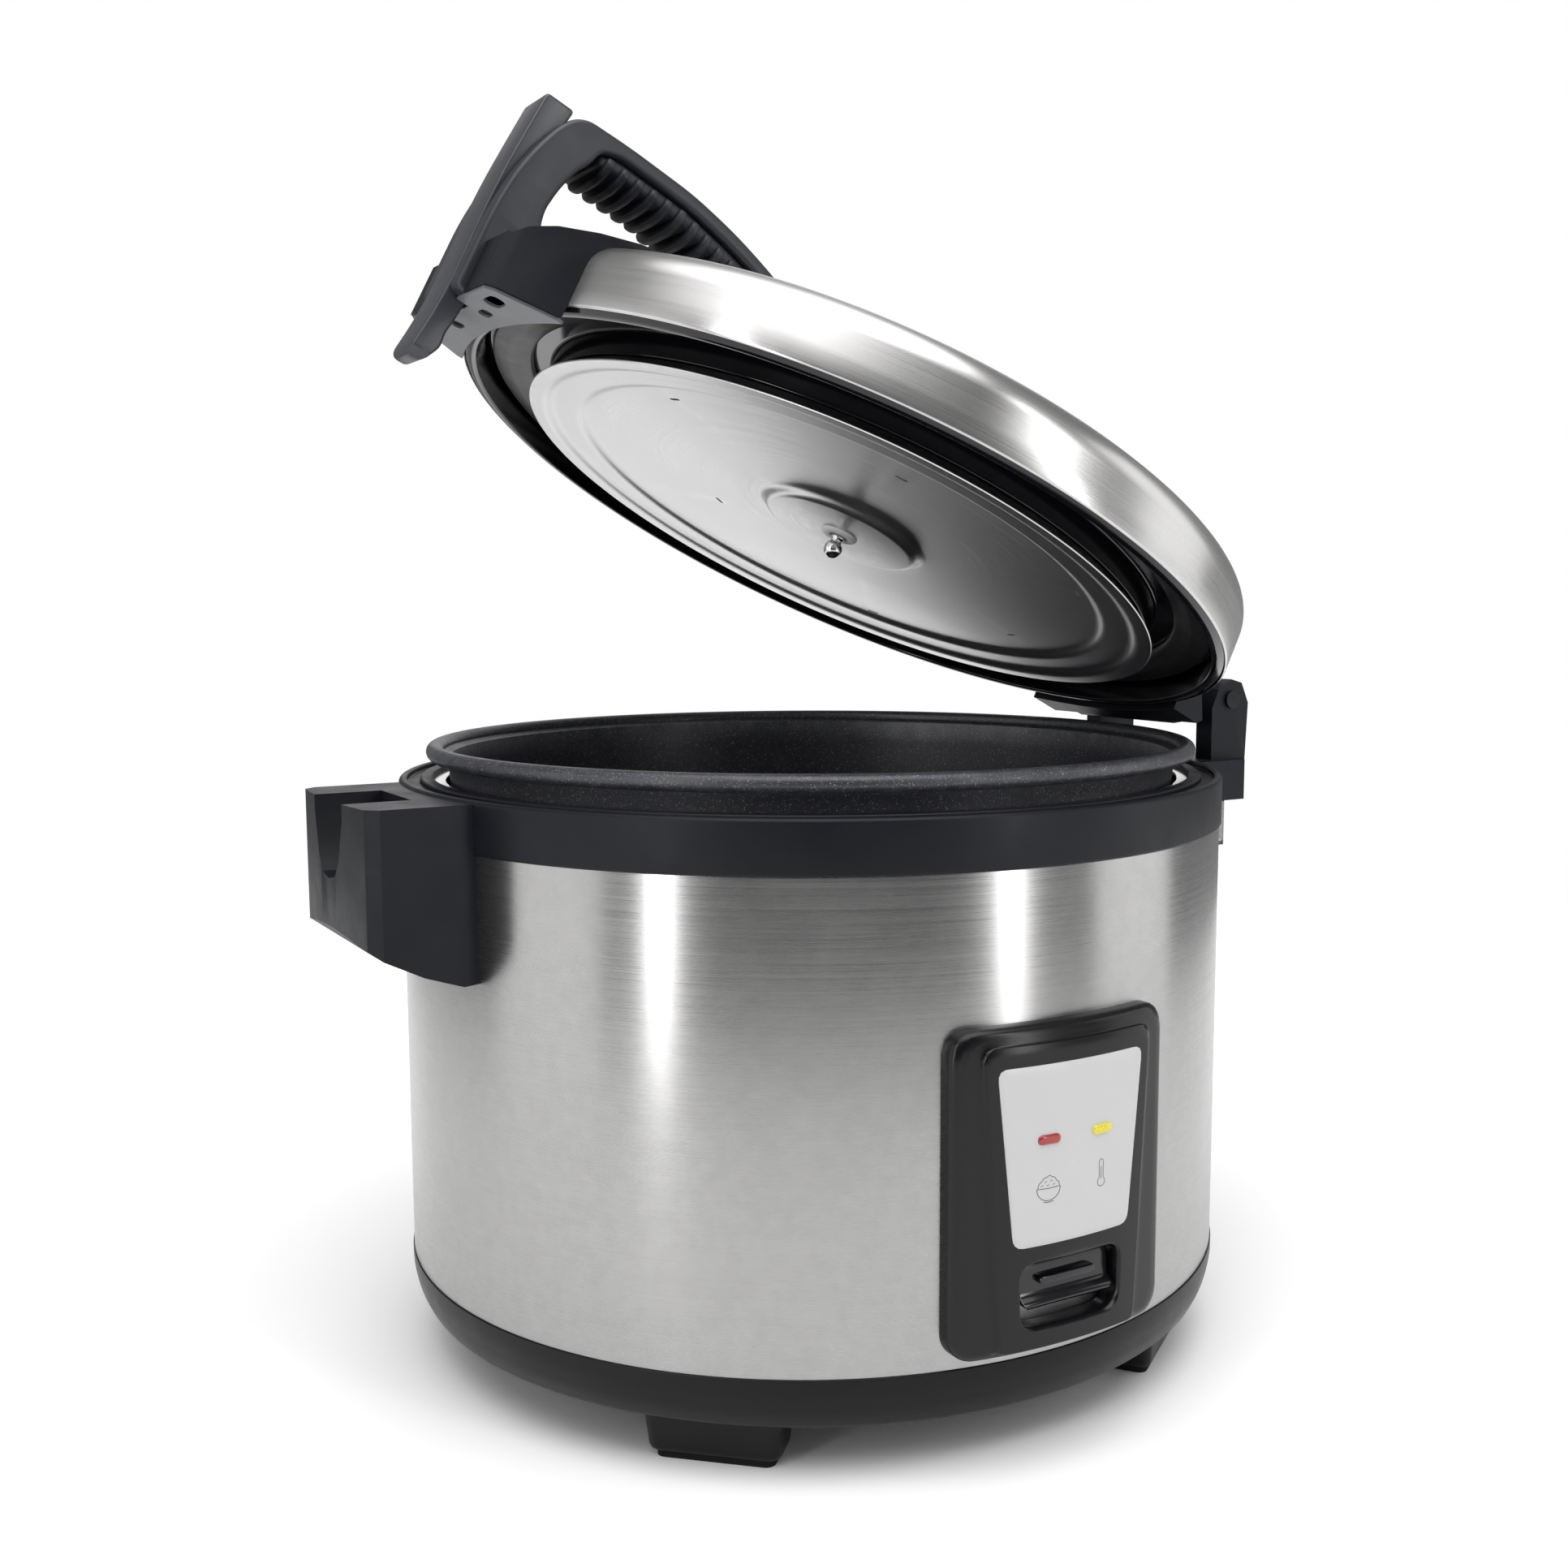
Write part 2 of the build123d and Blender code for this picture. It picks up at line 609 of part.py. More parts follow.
# ================================================================ power inlet
with BuildPart() as power_inlet:
    with BuildSketch(front(200)):
        with Locations((0, 76)):
            RectangleRounded(50, 32, 4)
    extrude(amount=40)
    with BuildSketch(Plane.XY.offset(40)):
        Circle(R_SHELL)
    extrude(amount=80, mode=Mode.SUBTRACT)
    with BuildSketch(front(199)):
        with Locations((0, 76)):
            Rectangle(80, 60)
    extrude(amount=-20, mode=Mode.SUBTRACT)
    with BuildSketch(front(198)):
        with Locations((0, 76)):
            RectangleRounded(33, 25, 3)
    extrude(amount=24)
    with BuildSketch(front(205)):
        with Locations((0, 76)):
            RectangleRounded(25, 17, 3)
    extrude(amount=27, mode=Mode.SUBTRACT)
save(power_inlet.part, "power_inlet")

with BuildPart() as inlet_pins:
    with BuildSketch(front(192)):
        with Locations((-7, 74), (0, 78), (7, 74)):
            Rectangle(2.2, 4.6)
    extrude(amount=14)
save(inlet_pins.part, "inlet_pins")

# ================================================================ pot
with BuildPart() as inner_pot:
    with BuildSketch(Plane.XZ):
        with BuildLine():
            a1 = Line((0, Z_PLATE_HI), (118, Z_PLATE_HI))
            a2 = Spline(a1 @ 1, (152, 88), (R_POT - 1.5, 122), tangents=[(1, 0), (0.06, 1)])
            a3 = Line(a2 @ 1, (R_POT, 262))
            a4 = Line(a3 @ 1, (R_POT + 1.5, 270))
            a5 = Line(a4 @ 1, (R_POT - 0.7, 270))
            a6 = Line(a5 @ 1, (R_POT - T_POT, 262))
            a7 = Line(a6 @ 1, (R_POT - T_POT - 1.5, 123))
            a8 = Spline(a7 @ 1, (150.6, 90.2), (117.5, Z_PLATE_HI + T_POT), tangents=[(-0.06, -1), (-1, 0)])
            a9 = Line(a8 @ 1, (0, Z_PLATE_HI + T_POT))
            a10 = Line(a9 @ 1, a1 @ 0)
        make_face()
    revolve(axis=Axis.Z)
    with BuildSketch(Plane.XZ):             # rolled rim with its inner ledge
        with Locations((R_RIM, Z_RIM)):
            Circle(T_RIM)
        with BuildLine():
            Polyline((R_POT - 2.2, 266.6), (R_POT + 2, 266.6), (R_RIM - 0.5, 268.6), (R_RIM, 273.6),
                     (R_POT - 2.2, 269.0), close=True)
        make_face()
    revolve(axis=Axis.Z)
save(inner_pot.part, "inner_pot")

# ================================================================ lid: shells (closed coordinates)
def lid_envelope(z_lo=240.0):
    """Solid inside the outer skin of the steel lid, used to seat what stands on it."""
    with BuildPart() as env:
        with BuildSketch(lid_side(0)):
            with BuildLine():
                e1 = Line((0, z_lo), (R_LID, z_lo))
                e2 = Line(e1 @ 1, (R_LID, 286.5))
                e3 = Spline(e2 @ 1, (188.2, 295.0), (178, 300.2), tangents=[(0, 1), (-1, 0.22)])
                e4 = Spline(e3 @ 1, (100, 309.2), (0, 312), tangents=[(-1, 0.22), (-1, 0)])
                Line(e4 @ 1, e1 @ 0)
            make_face()
        revolve(axis=LID_AXIS)
    return env.part


with BuildPart() as lid_cover:
    with BuildSketch(lid_side(0)):
        with BuildLine():
            b1 = Line((R_LID, 267.9), (R_LID, 286.5))
            b2 = Spline(b1 @ 1, (188.2, 295.0), (178, 300.2), tangents=[(0, 1), (-1, 0.22)])
            b3 = Spline(b2 @ 1, (100, 309.2), (0, 312), tangents=[(-1, 0.22), (-1, 0)])
            b4 = Line(b3 @ 1, (0, 311.2))
            b5 = Spline(b4 @ 1, (100, 308.4), (178, 299.4), tangents=[(1, 0), (1, -0.22)])
            b6 = Spline(b5 @ 1, (187.5, 294.5), (R_LID - 0.8, 286.5), tangents=[(1, -0.22), (0, -1)])
            b7 = Line(b6 @ 1, (R_LID - 0.8, 267.9))
            Line(b7 @ 1, b1 @ 0)
        make_face()
    revolve(axis=LID_AXIS)
    with BuildSketch(lid_top(290)):
        with Locations((VENT_X, 0)):
            Circle(9.5)
    extrude(amount=40, mode=Mode.SUBTRACT)
save(lid_cover.part, "lid_cover")

with BuildPart() as lid_ring:
    with BuildSketch(lid_side(0)):
        with BuildLine():
            Polyline((184.2, 267.2), (185.0, 266.4), (187.2, 266.4), (R_LID - 0.8, 268.6), (R_LID - 0.8, 284),
                     (150, 284), (150, 270), (152.5, 270), (152.5, 281.8), (184.2, 281.8), close=True)
        make_face()
    revolve(axis=LID_AXIS)
save(lid_ring.part, "lid_ring")

with BuildPart() as lid_liner:
    with BuildSketch(lid_side(0)):
        with BuildLine():
            Polyline((0, 273.4), (150, 273.4), (150, 274.6), (12, 274.6), (8, 280), (0, 280), close=True)
        make_face()
    revolve(axis=LID_AXIS)
    with BuildSketch(lid_top(260)):
        Circle(3.4)
        with Locations((VENT_X, 0)):
            Circle(8)
    extrude(amount=24, mode=Mode.SUBTRACT)
save(lid_liner.part, "lid_liner")

with BuildPart() as lid_gasket:
    with BuildSketch(lid_side(0)):
        with BuildLine():
            Polyline((162, 281.8), (162, 278.8), (167, 277.6), (172, 275.9), (180, 276.2), (181, 278),
                     (174, 279.2), (172, 281.8), close=True)
        make_face()
    revolve(axis=LID_AXIS)
save(lid_gasket.part, "lid_gasket")

with BuildPart() as dish_stud:
    with BuildSketch(lid_side(0)):
        with BuildLine():
            Polyline((0, 281.5), (6, 281.5), (6, 280), (3.4, 280), (3.4, 264.5), (2.6, 263.5), (2.6, 261.5),
                     (3.9, 260.4), (4.4, 258.6), (4.0, 256.7), (2.5, 255.1), (0, 254.6), close=True)
        make_face()
    revolve(axis=LID_AXIS)
save(dish_stud.part, "dish_stud")

with BuildPart() as steam_vent:
    with BuildSketch(lid_top(274.6)):
        with Locations((VENT_X, 0)):
            Circle(9.5)
            Circle(8, mode=Mode.SUBTRACT)
    extrude(amount=43.2)
    with BuildSketch(lid_top(311.3)):
        with Locations((VENT_X, 0)):
            Circle(13)
            Circle(8, mode=Mode.SUBTRACT)
    extrude(amount=1.3)
save(steam_vent.part, "steam_vent")

with BuildPart() as vent_cap:
    with BuildSketch(lid_top(312.7)):
        with Locations((VENT_X, 0)):
            Circle(17)
    extrude(amount=8.0)
    fillet(vent_cap.edges().group_by(LID_AXIS)[-1], 3.0)
    with BuildSketch(lid_top(312.7)):
        with Locations((VENT_X, 0)):
            Circle(9.9)
    extrude(amount=5.8, mode=Mode.SUBTRACT)
    with BuildSketch(lid_top(312.7)):
        with Locations((VENT_X - 5, 0), (VENT_X, 0), (VENT_X + 5, 0)):
            SlotOverall(9, 2.2, rotation=90)
    extrude(amount=10, mode=Mode.SUBTRACT)
save(vent_cap.part, "vent_cap")

# ================================================================ lid: front block, handle, latch
ENV = lid_envelope()

with BuildPart() as lid_front_block:
    with BuildSketch(lid_top(262.6)):
        with BuildLine():
            Polyline((-146, -62), (-160, -64.5), (-182, -60.5), (-206.5, -49.5), (-210.5, -45.5),
                     (-210.5, 45.5), (-206.5, 49.5), (-182, 60.5), (-160, 64.5), (-146, 62), close=True)
        make_face()
    extrude(amount=60)
    with BuildSketch(lid_side(80)):         # sloping top
        with BuildLine():
            Polyline((-240, 286), (-209, 286), (-205, 290.5), (-196, 295.6), (-181, 300.6), (-166, 305.0),
                     (-140, 309.6), (-140, 340), (-240, 340), close=True)
        make_face()
    extrude(amount=160, mode=Mode.SUBTRACT)
    add(ENV, mode=Mode.SUBTRACT)
    with BuildSketch(lid_top(250)):         # the handle's post fills the middle of the front
        with Locations((-203.4 - 20, 0)):
            Rectangle(40, HANDLE_W)
    extrude(amount=80, mode=Mode.SUBTRACT)
    for y in (1, -1):                       # hollow from below
        with BuildSketch(lid_top(258)):
            with BuildLine():
                Polyline((-194, y * 25), (-207.5, y * 25), (-207.5, y * 44), (-194, y * 50), close=True)
            make_face()
        extrude(amount=25, mode=Mode.SUBTRACT)
save(lid_front_block.part, "lid_front_block")

with BuildPart() as front_block_cover:
    with BuildSketch(lid_top(261.2)):
        with BuildLine():
            Polyline((-176, -58), (-182, -58.5), (-206, -47.5), (-209.5, -43.5), (-209.5, 43.5), (-206, 47.5),
                     (-182, 58.5), (-176, 58), close=True)
        make_face()
        Circle(188.6, mode=Mode.SUBTRACT)
        with Locations((-204 - 10, 0)):
            Rectangle(20, LEVER_W + 1.6, mode=Mode.SUBTRACT)
        with Locations((-201, -36), (-201, 36)):
            SlotOverall(13, 7, rotation=90, mode=Mode.SUBTRACT)
        with Locations((-197.5, -17), (-197.5, 17)):
            SlotOverall(9, 5, rotation=90, mode=Mode.SUBTRACT)
    extrude(amount=1.4)
save(front_block_cover.part, "front_block_cover")

with BuildPart() as lid_handle:
    with BuildSketch(lid_side(HANDLE_W / 2)):
        with BuildLine():
            Polyline((-203.4, 262.6), (-214.4, 262.6), (-214.4, 300), (-212.5, 318), (-209, 332),
                     (-204.5, 344), (-200, 351), (-194, 354.2), (-174.5, 355), (-140.4, 354.4),
                     (-118, 351.2), (-101.5, 347.5), (-78.3, 341), (-55, 331.5), (-35, 320), (-22, 309),
                     (-20, 290), (-62, 290), (-64, 312), (-71, 319), (-88, 327.5), (-89, 336.8),
                     (-101.5, 340.8), (-118, 344.3), (-140, 347.6), (-176, 348.3), (-184, 345.5),
                     (-185.6, 339.0), (-189.5, 333), (-193, 322), (-194.6, 311), (-193.4, 304),
                     (-190.5, 300), (-187, 298.6), (-196, 295.6), (-203.4, 291.407), close=True)
        make_face()
    extrude(amount=HANDLE_W)
    add(ENV, mode=Mode.SUBTRACT)
    with BuildSketch(lid_side(LEVER_W / 2 + 0.8)):      # channel for the latch lever
        with BuildLine():
            Polyline((-240, 370), (-189, 370), (-190, 356), (-203.2, 304), (-203.4, 250), (-240, 250),
                     close=True)
        make_face()
    extrude(amount=LEVER_W + 1.6, mode=Mode.SUBTRACT)
    with BuildSketch(lid_side(30)):
        with Locations((LATCH_X, LATCH_Z)):
            Circle(2.0)
    extrude(amount=60, mode=Mode.SUBTRACT)
save(lid_handle.part, "lid_handle")

with BuildPart() as grip_insert:
    with BuildSketch(lid_side(19.5)):
        with BuildLine():
            Polyline((-184, 345.5), (-176, 348.3), (-140, 347.6), (-118, 344.3), (-101.5, 340.8),
                     (-89, 336.8), (-88.6, 331.5), (-90.5, 329.8), (-104, 333.8), (-118, 337.2),
                     (-140, 341.0), (-176, 342.0), (-183, 340.6), close=True)
        make_face()
    extrude(amount=39)
    for k in range(12):                     # ribs round the underside and both flanks
        x = -178.5 + 7.4 * k
        top = 346.2 - max(0.0, x + 140) * 0.205
        low = 336.0 - max(0.0, x + 150) * 0.175
        with BuildSketch(lid_side(21.8)):
            with BuildLine():
                Polyline((x - 1.9, top - 0.6), (x - 1.9, low + 3), (x - 0.7, low), (x + 0.7, low),
                         (x + 1.9, low + 3), (x + 1.9, top - 1.0), close=True)
            make_face()
        extrude(amount=43.6)
save(grip_insert.part, "grip_insert")

with BuildPart() as latch_lever:
    with BuildSketch(lid_side(LEVER_W / 2)):
        with BuildLine():
            Polyline((-212.3, 357.5), (-213.6, 340), (-214.9, 320), (-215.3, 302), (-215.0, 283),
                     (-214.8, 266), (-215.9, 249), (-217.6, 236), (-216.6, 232.2), (-213.5, 231.5),
                     (-210, 233.5), (-206.4, 241), (-207.2, 247), (-205.9, 254), (-205.0, 266),
                     (-204.6, 302), (-203.6, 320), (-201.6, 338), (-198.8, 357.5), close=True)
        make_face()
    extrude(amount=LEVER_W)
    with BuildSketch(lid_front(-190)):      # rounded tip
        with Locations((0, (231 + 360) / 2)):
            RectangleRounded(LEVER_W, 360 - 231, 8)
        with Locations((0, 340)):
            Rectangle(LEVER_W, 50)
    extrude(amount=60, mode=Mode.INTERSECT)
    with BuildSketch(lid_side(30)):
        with Locations((LATCH_X, LATCH_Z)):
            Circle(2.06)
    extrude(amount=60, mode=Mode.SUBTRACT)
save(latch_lever.part, "latch_lever")

with BuildPart() as latch_pivot_pin:
    with BuildSketch(lid_side(21.6)):
        with Locations((LATCH_X, LATCH_Z)):
            Circle(2.0)
    extrude(amount=43.2)
save(latch_pivot_pin.part, "latch_pivot_pin")

# ================================================================ lid: hinge arm
with BuildPart() as lid_hinge_arm:
    with BuildSketch(lid_side(37.5)):
        with BuildLine():
            Polyline((160, 290), (160, 307.4), (185, 304.5), (205, 303), (221, 299.4), (229.5, 296.6),
                     (233.6, 288), (230.5, 279.8), (222, 276.6), (203, 264.6), (180, 264.6), (180, 290),
                     close=True)
        make_face()
    extrude(amount=75)
    with BuildSketch(lid_side(57)):
        with BuildLine():
            Polyline((176, 264.6), (200, 264.6), (203, 267.6), (197, 278), (191, 292), (176, 292), close=True)
        make_face()
    extrude(amount=114)
    add(ENV, mode=Mode.SUBTRACT)
    with BuildSketch(lid_side(19)):         # gap for the springs
        with BuildLine():
            Polyline((208, 250), (250, 250), (250, 320), (208, 320), close=True)
        make_face()
    extrude(amount=38, mode=Mode.SUBTRACT)
    with BuildSketch(Plane(origin=(HINGE_X, 60, HINGE_Z), x_dir=(1, 0, 0), z_dir=(0, -1, 0))):
        Circle(PIN_R + 0.05)
    extrude(amount=120, mode=Mode.SUBTRACT)
save(lid_hinge_arm.part, "lid_hinge_arm")

# ================================================================ inner lid
with BuildPart() as inner_lid:
    with BuildSketch(lid_side(0)):
        with BuildLine():
            Polyline((9, 266.8), (37.5, 266.8), (41, 270.9), (60, 270.6), (129.5, 269.0), (133, 266.6),
                     (146, 266.6), (149.5, 264.3), (R_DISH, 264.3), (R_DISH, 265.1), (149.8, 265.1),
                     (146.3, 267.4), (133.3, 267.4), (129.8, 269.8), (60, 271.4), (40.6, 271.7),
                     (37.1, 267.6), (9, 267.6), close=True)
        make_face()
    revolve(axis=LID_AXIS)
    with BuildSketch(lid_top(255)):         # steam slots
        for r, a in ((118, 15), (108, 70), (76, -64), (124, 122), (112, 179), (128, -133)):
            t = radians(180 + a)
            with Locations((r * cos(t), r * sin(t))):
                SlotOverall(6, 1.6, rotation=a + 90)
    extrude(amount=30, mode=Mode.SUBTRACT)
save(inner_lid.part, "inner_lid")

with BuildPart() as dish_grommet:
    with BuildSketch(lid_top(265.2)):
        Circle(9)
        Circle(4.7, mode=Mode.SUBTRACT)
    extrude(amount=4.0)
save(dish_grommet.part, "dish_grommet")
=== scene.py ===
import bpy
import bmesh
import json
import math
from mathutils import Matrix, Vector
from mathutils.geometry import tessellate_polygon


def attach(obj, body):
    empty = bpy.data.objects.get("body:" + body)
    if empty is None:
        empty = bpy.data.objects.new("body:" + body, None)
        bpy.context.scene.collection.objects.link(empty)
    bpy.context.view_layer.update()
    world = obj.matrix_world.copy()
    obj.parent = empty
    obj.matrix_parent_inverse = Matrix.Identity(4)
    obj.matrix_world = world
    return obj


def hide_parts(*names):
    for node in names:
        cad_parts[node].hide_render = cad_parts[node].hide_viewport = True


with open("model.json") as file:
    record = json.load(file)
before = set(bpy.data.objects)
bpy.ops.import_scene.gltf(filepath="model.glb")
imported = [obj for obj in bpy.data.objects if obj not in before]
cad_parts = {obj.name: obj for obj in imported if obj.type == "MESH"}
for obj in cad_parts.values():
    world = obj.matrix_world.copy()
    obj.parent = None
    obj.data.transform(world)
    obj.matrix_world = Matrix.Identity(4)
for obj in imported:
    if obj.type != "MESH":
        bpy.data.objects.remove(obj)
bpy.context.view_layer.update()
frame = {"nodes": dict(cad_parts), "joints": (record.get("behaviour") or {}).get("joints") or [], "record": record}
NODES = frame["nodes"]

# ------------------------------------------------------------------ measures (millimetres)
MM = 0.001
R_SHELL, Z_SHELL_LO, Z_SHELL_HI = 190.0, 44.7, 238.6
SHEET = 0.8                          # thickness of the turned sheet metal
Z_BASE = 21.9                        # underside of the base ring, where the feet end
LID_OPEN = 27.1                      # degrees that the lid stands open at rest
LEVER_W, LEVER_GAP, HANDLE_W = 24.6, 0.8, 44.0
PANEL_W, PANEL_H, PANEL_MID = 104, 130, 114.4
LABEL_MID, RECESS_MID = 128, 72.7    # heights of the label's and the lever recess's middles
LAMP_X, LAMP_Z = 13.0, 135.0
BAR_Z = 77.3                         # height of the raised bar on the cook lever's paddle
CUT_EDGE = 0.01                      # rim radius of a cutter, in effect a sharp one
FOOT_R, FOOT_ANGLES = 163.0, (-44.0, 35.0, 136.0, -145.0)

hinge = next(j for j in frame["joints"] if j["name"] == "lid_hinge")
HINGE = Vector(hinge["pos_m"])
# closed lid coordinates -> the lid as it stands open at rest
LID = Matrix.Translation(HINGE) @ Matrix.Rotation(math.radians(LID_OPEN), 4, "Y") @ Matrix.Translation(-HINGE)


# ------------------------------------------------------------------ material nodes
class Tree:
    """A material's node tree, with short calls for what the finishes below are made of."""

    def __init__(self, name):
        self.mat = bpy.data.materials.new(name)
        self.mat.use_nodes = True
        self.nodes, self.links = self.mat.node_tree.nodes, self.mat.node_tree.links
        self.bsdf = self.nodes["Principled BSDF"]
        self.place = self.add("ShaderNodeTexCoord").outputs["Object"]

    def add(self, kind, **inputs):
        node = self.nodes.new(kind)
        for key, value in inputs.items():
            self.put(node.inputs[key], value)
        return node

    def put(self, socket, value):
        if isinstance(value, bpy.types.NodeSocket):
            self.links.new(value, socket)
        else:
            socket.default_value = value

    def math(self, operation, a, b=0.0):
        node = self.nodes.new("ShaderNodeMath")
        node.operation = operation
        self.put(node.inputs[0], a)
        self.put(node.inputs[1], b)
        return node.outputs[0]

    def noise(self, scale, detail=3.0, rough=0.55, vector=None):
        node = self.add("ShaderNodeTexNoise", Scale=scale, Detail=detail, Roughness=rough)
        self.links.new(vector or self.place, node.inputs["Vector"])
        return node.outputs["Fac"]

    def span(self, value, lo, hi, out_lo, out_hi):
        node = self.nodes.new("ShaderNodeMapRange")
        self.put(node.inputs["Value"], value)
        for key, number in (("From Min", lo), ("From Max", hi), ("To Min", out_lo), ("To Max", out_hi)):
            self.put(node.inputs[key], number)
        return node.outputs["Result"]

    def mix(self, factor, a, b):
        node = self.nodes.new("ShaderNodeMix")
        node.data_type = "RGBA"
        self.put(node.inputs["Factor"], factor)
        self.put(node.inputs["A"], a)
        self.put(node.inputs["B"], b)
        return node.outputs["Result"]

    def bump(self, height, distance, strength=1.0, normal=None):
        node = self.add("ShaderNodeBump", Height=height, Distance=distance, Strength=strength)
        if normal is not None:
            self.links.new(normal, node.inputs["Normal"])
        return node.outputs["Normal"]

    def edges(self, lo=0.505, hi=0.56):
        """How far a point lies on an outer edge, broken up as real wear is."""
        sharp = self.span(self.add("ShaderNodeNewGeometry").outputs["Pointiness"], lo, hi, 0.0, 1.0)
        return self.math("MULTIPLY", sharp, self.span(self.noise(140, 4), 0.35, 0.7, 0.1, 1.0))

    def turned(self, along, across):
        """Coordinates that run round the Z axis: long streaks along the turn, fine lines across it."""
        xyz = self.add("ShaderNodeSeparateXYZ", Vector=self.place).outputs
        turn = self.math("ARCTAN2", xyz["Y"], xyz["X"])
        radius = self.math("POWER", self.math("ADD", self.math("MULTIPLY", xyz["X"], xyz["X"]),
                                              self.math("MULTIPLY", xyz["Y"], xyz["Y"])), 0.5)
        node = self.nodes.new("ShaderNodeCombineXYZ")
        self.put(node.inputs[0], self.math("MULTIPLY", turn, along * 0.19))
        self.put(node.inputs[1], self.math("MULTIPLY", self.math("SUBTRACT", xyz["Z"], radius), across))
        return node.outputs[0]

    def straight(self, x, y, z):
        """Object coordinates stretched, for grain or scratches that run one way."""
        return self.add("ShaderNodeMapping", Vector=self.place, Scale=(x, y, z)).outputs[0]


def rgba(c):
    return (c[0], c[1], c[2], 1.0)


def shade(c, k):
    return rgba([min(1.0, v * k) for v in c])


def plastic(name, colour, rough, grain=2200, relief=0.00004, var=0.12, wear=1.7, coat=0.0, spec=0.5,
            mottle=26):
    """Moulded plastic or rubber: fine texture, patchy sheen, paler rubbed edges."""
    t = Tree(name)
    tone = t.mix(t.span(t.noise(mottle, 4), 0.3, 0.7, 0.0, 1.0), shade(colour, 1 - var),
                 shade(colour, 1 + var))
    worn = t.mix(t.math("MULTIPLY", t.edges(), 0.55), tone, shade(colour, wear))
    t.put(t.bsdf.inputs["Base Color"], worn)
    smudge = t.span(t.noise(60, 5, 0.65), 0.3, 0.7, rough * 0.88, min(1.0, rough * 1.14))
    t.put(t.bsdf.inputs["Roughness"], smudge)
    t.put(t.bsdf.inputs["Normal"], t.bump(t.noise(grain, 2, 0.6), relief, 0.35))
    t.bsdf.inputs["Specular IOR Level"].default_value = spec
    t.bsdf.inputs["Coat Weight"].default_value = coat
    t.bsdf.inputs["Coat Roughness"].default_value = 0.12
    return t.mat


def brushed(name, colour, rough, along=22, across=2600, relief=0.000012, aniso=0.75, var=0.07, turned=True):
    """Sheet metal brushed round its axis, with fine streaks and finger haze."""
    t = Tree(name)
    fine = t.noise(1.0, 3, 0.7, t.turned(along, across) if turned else t.straight(along, across, across))
    wide = t.noise(1.0, 3, 0.6, t.turned(along * 0.5, across * 0.22) if turned
                   else t.straight(along * 0.5, across * 0.22, across * 0.22))
    streak = t.math("ADD", t.math("MULTIPLY", fine, 0.75), t.math("MULTIPLY", wide, 0.25))
    haze = t.noise(9, 4, 0.6)
    tone = t.mix(t.span(streak, 0.36, 0.64, 0.0, 1.0), shade(colour, 1 - var), shade(colour, 1 + var))
    tone = t.mix(t.math("MULTIPLY", t.edges(), 0.5), tone, shade(colour, 1.25))
    t.put(t.bsdf.inputs["Base Color"], tone)
    t.bsdf.inputs["Metallic"].default_value = 1.0
    t.put(t.bsdf.inputs["Roughness"], t.math("ADD", t.span(streak, 0.35, 0.65, rough * 0.86, rough * 1.12),
                                             t.span(haze, 0.35, 0.7, -0.012, 0.03)))
    t.put(t.bsdf.inputs["Normal"], t.bump(streak, relief, 0.5))
    if turned:
        around = t.add("ShaderNodeTangent")
        around.direction_type, around.axis = "RADIAL", "Z"
        t.put(t.bsdf.inputs["Tangent"], around.outputs[0])
        t.bsdf.inputs["Anisotropic"].default_value = aniso
        t.bsdf.inputs["Anisotropic Rotation"].default_value = 0.25
    return t.mat


def metal(name, colour, rough, grain=900, relief=0.00003, var=0.1, cast=False):
    """Plain, plated or cast metal, with patches, small pits and brighter edges."""
    t = Tree(name)
    patches = t.noise(40 if cast else 70, 5, 0.6)
    tone = t.mix(t.span(patches, 0.3, 0.7, 0.0, 1.0), shade(colour, 1 - var), shade(colour, 1 + var))
    t.put(t.bsdf.inputs["Base Color"], t.mix(t.math("MULTIPLY", t.edges(), 0.6), tone, shade(colour, 1.3)))
    t.bsdf.inputs["Metallic"].default_value = 1.0
    t.put(t.bsdf.inputs["Roughness"], t.span(t.noise(180, 4), 0.3, 0.7, rough * 0.8, rough * 1.25))
    t.put(t.bsdf.inputs["Normal"], t.bump(t.noise(grain, 3), relief, 0.6 if cast else 0.25))
    return t.mat


def speckled(name, colour, fleck_glint_colour, rough):
    """Non-stick coating: charcoal with fine bright flecks that are partly the coating's own and partly a painted
    speckled highlight, paler convex edges that are partly wear and partly a painted highlight on the rolled rim,
    and a pebbled skin.
    """
    t = Tree(name)
    # bright specks: partly the coating's own flecks, partly a painted speckled highlight
    fleck_and_glint = t.noise(1500, 1, 0.5)
    tone = t.mix(t.span(t.noise(22, 4), 0.3, 0.7, 0.0, 1.0), shade(colour, 0.85), shade(colour, 1.15))
    tone = t.mix(t.span(fleck_and_glint, 0.62, 0.74, 0.0, 0.75), tone, rgba(fleck_glint_colour))
    # paler convex edges such as the rolled rim: partly rubbed wear, partly a painted highlight
    tone = t.mix(t.math("MULTIPLY", t.edges(), 0.35), tone, rgba(fleck_glint_colour))
    t.put(t.bsdf.inputs["Base Color"], tone)
    t.put(t.bsdf.inputs["Roughness"], t.span(t.noise(90, 5), 0.3, 0.7, rough * 0.88, rough * 1.15))
    t.put(t.bsdf.inputs["Normal"], t.bump(t.noise(900, 3), 0.00006, 0.5))
    t.bsdf.inputs["Specular IOR Level"].default_value = 0.6
    return t.mat


def clear(name, tint, rough, ior=1.49):
    """Clear moulded plastic or silicone with faint haze and fine scratches."""
    t = Tree(name)
    t.put(t.bsdf.inputs["Base Color"],
          t.mix(t.span(t.noise(30, 4), 0.3, 0.7, 0, 1), shade(tint, 0.97), rgba(tint)))
    t.put(t.bsdf.inputs["Roughness"], t.span(t.noise(120, 5), 0.3, 0.75, rough * 0.6, rough * 1.8))
    t.put(t.bsdf.inputs["Normal"], t.bump(t.noise(60, 3), 0.0001, 0.08))
    t.bsdf.inputs["Transmission Weight"].default_value = 0.92
    t.bsdf.inputs["IOR"].default_value = ior
    return t.mat


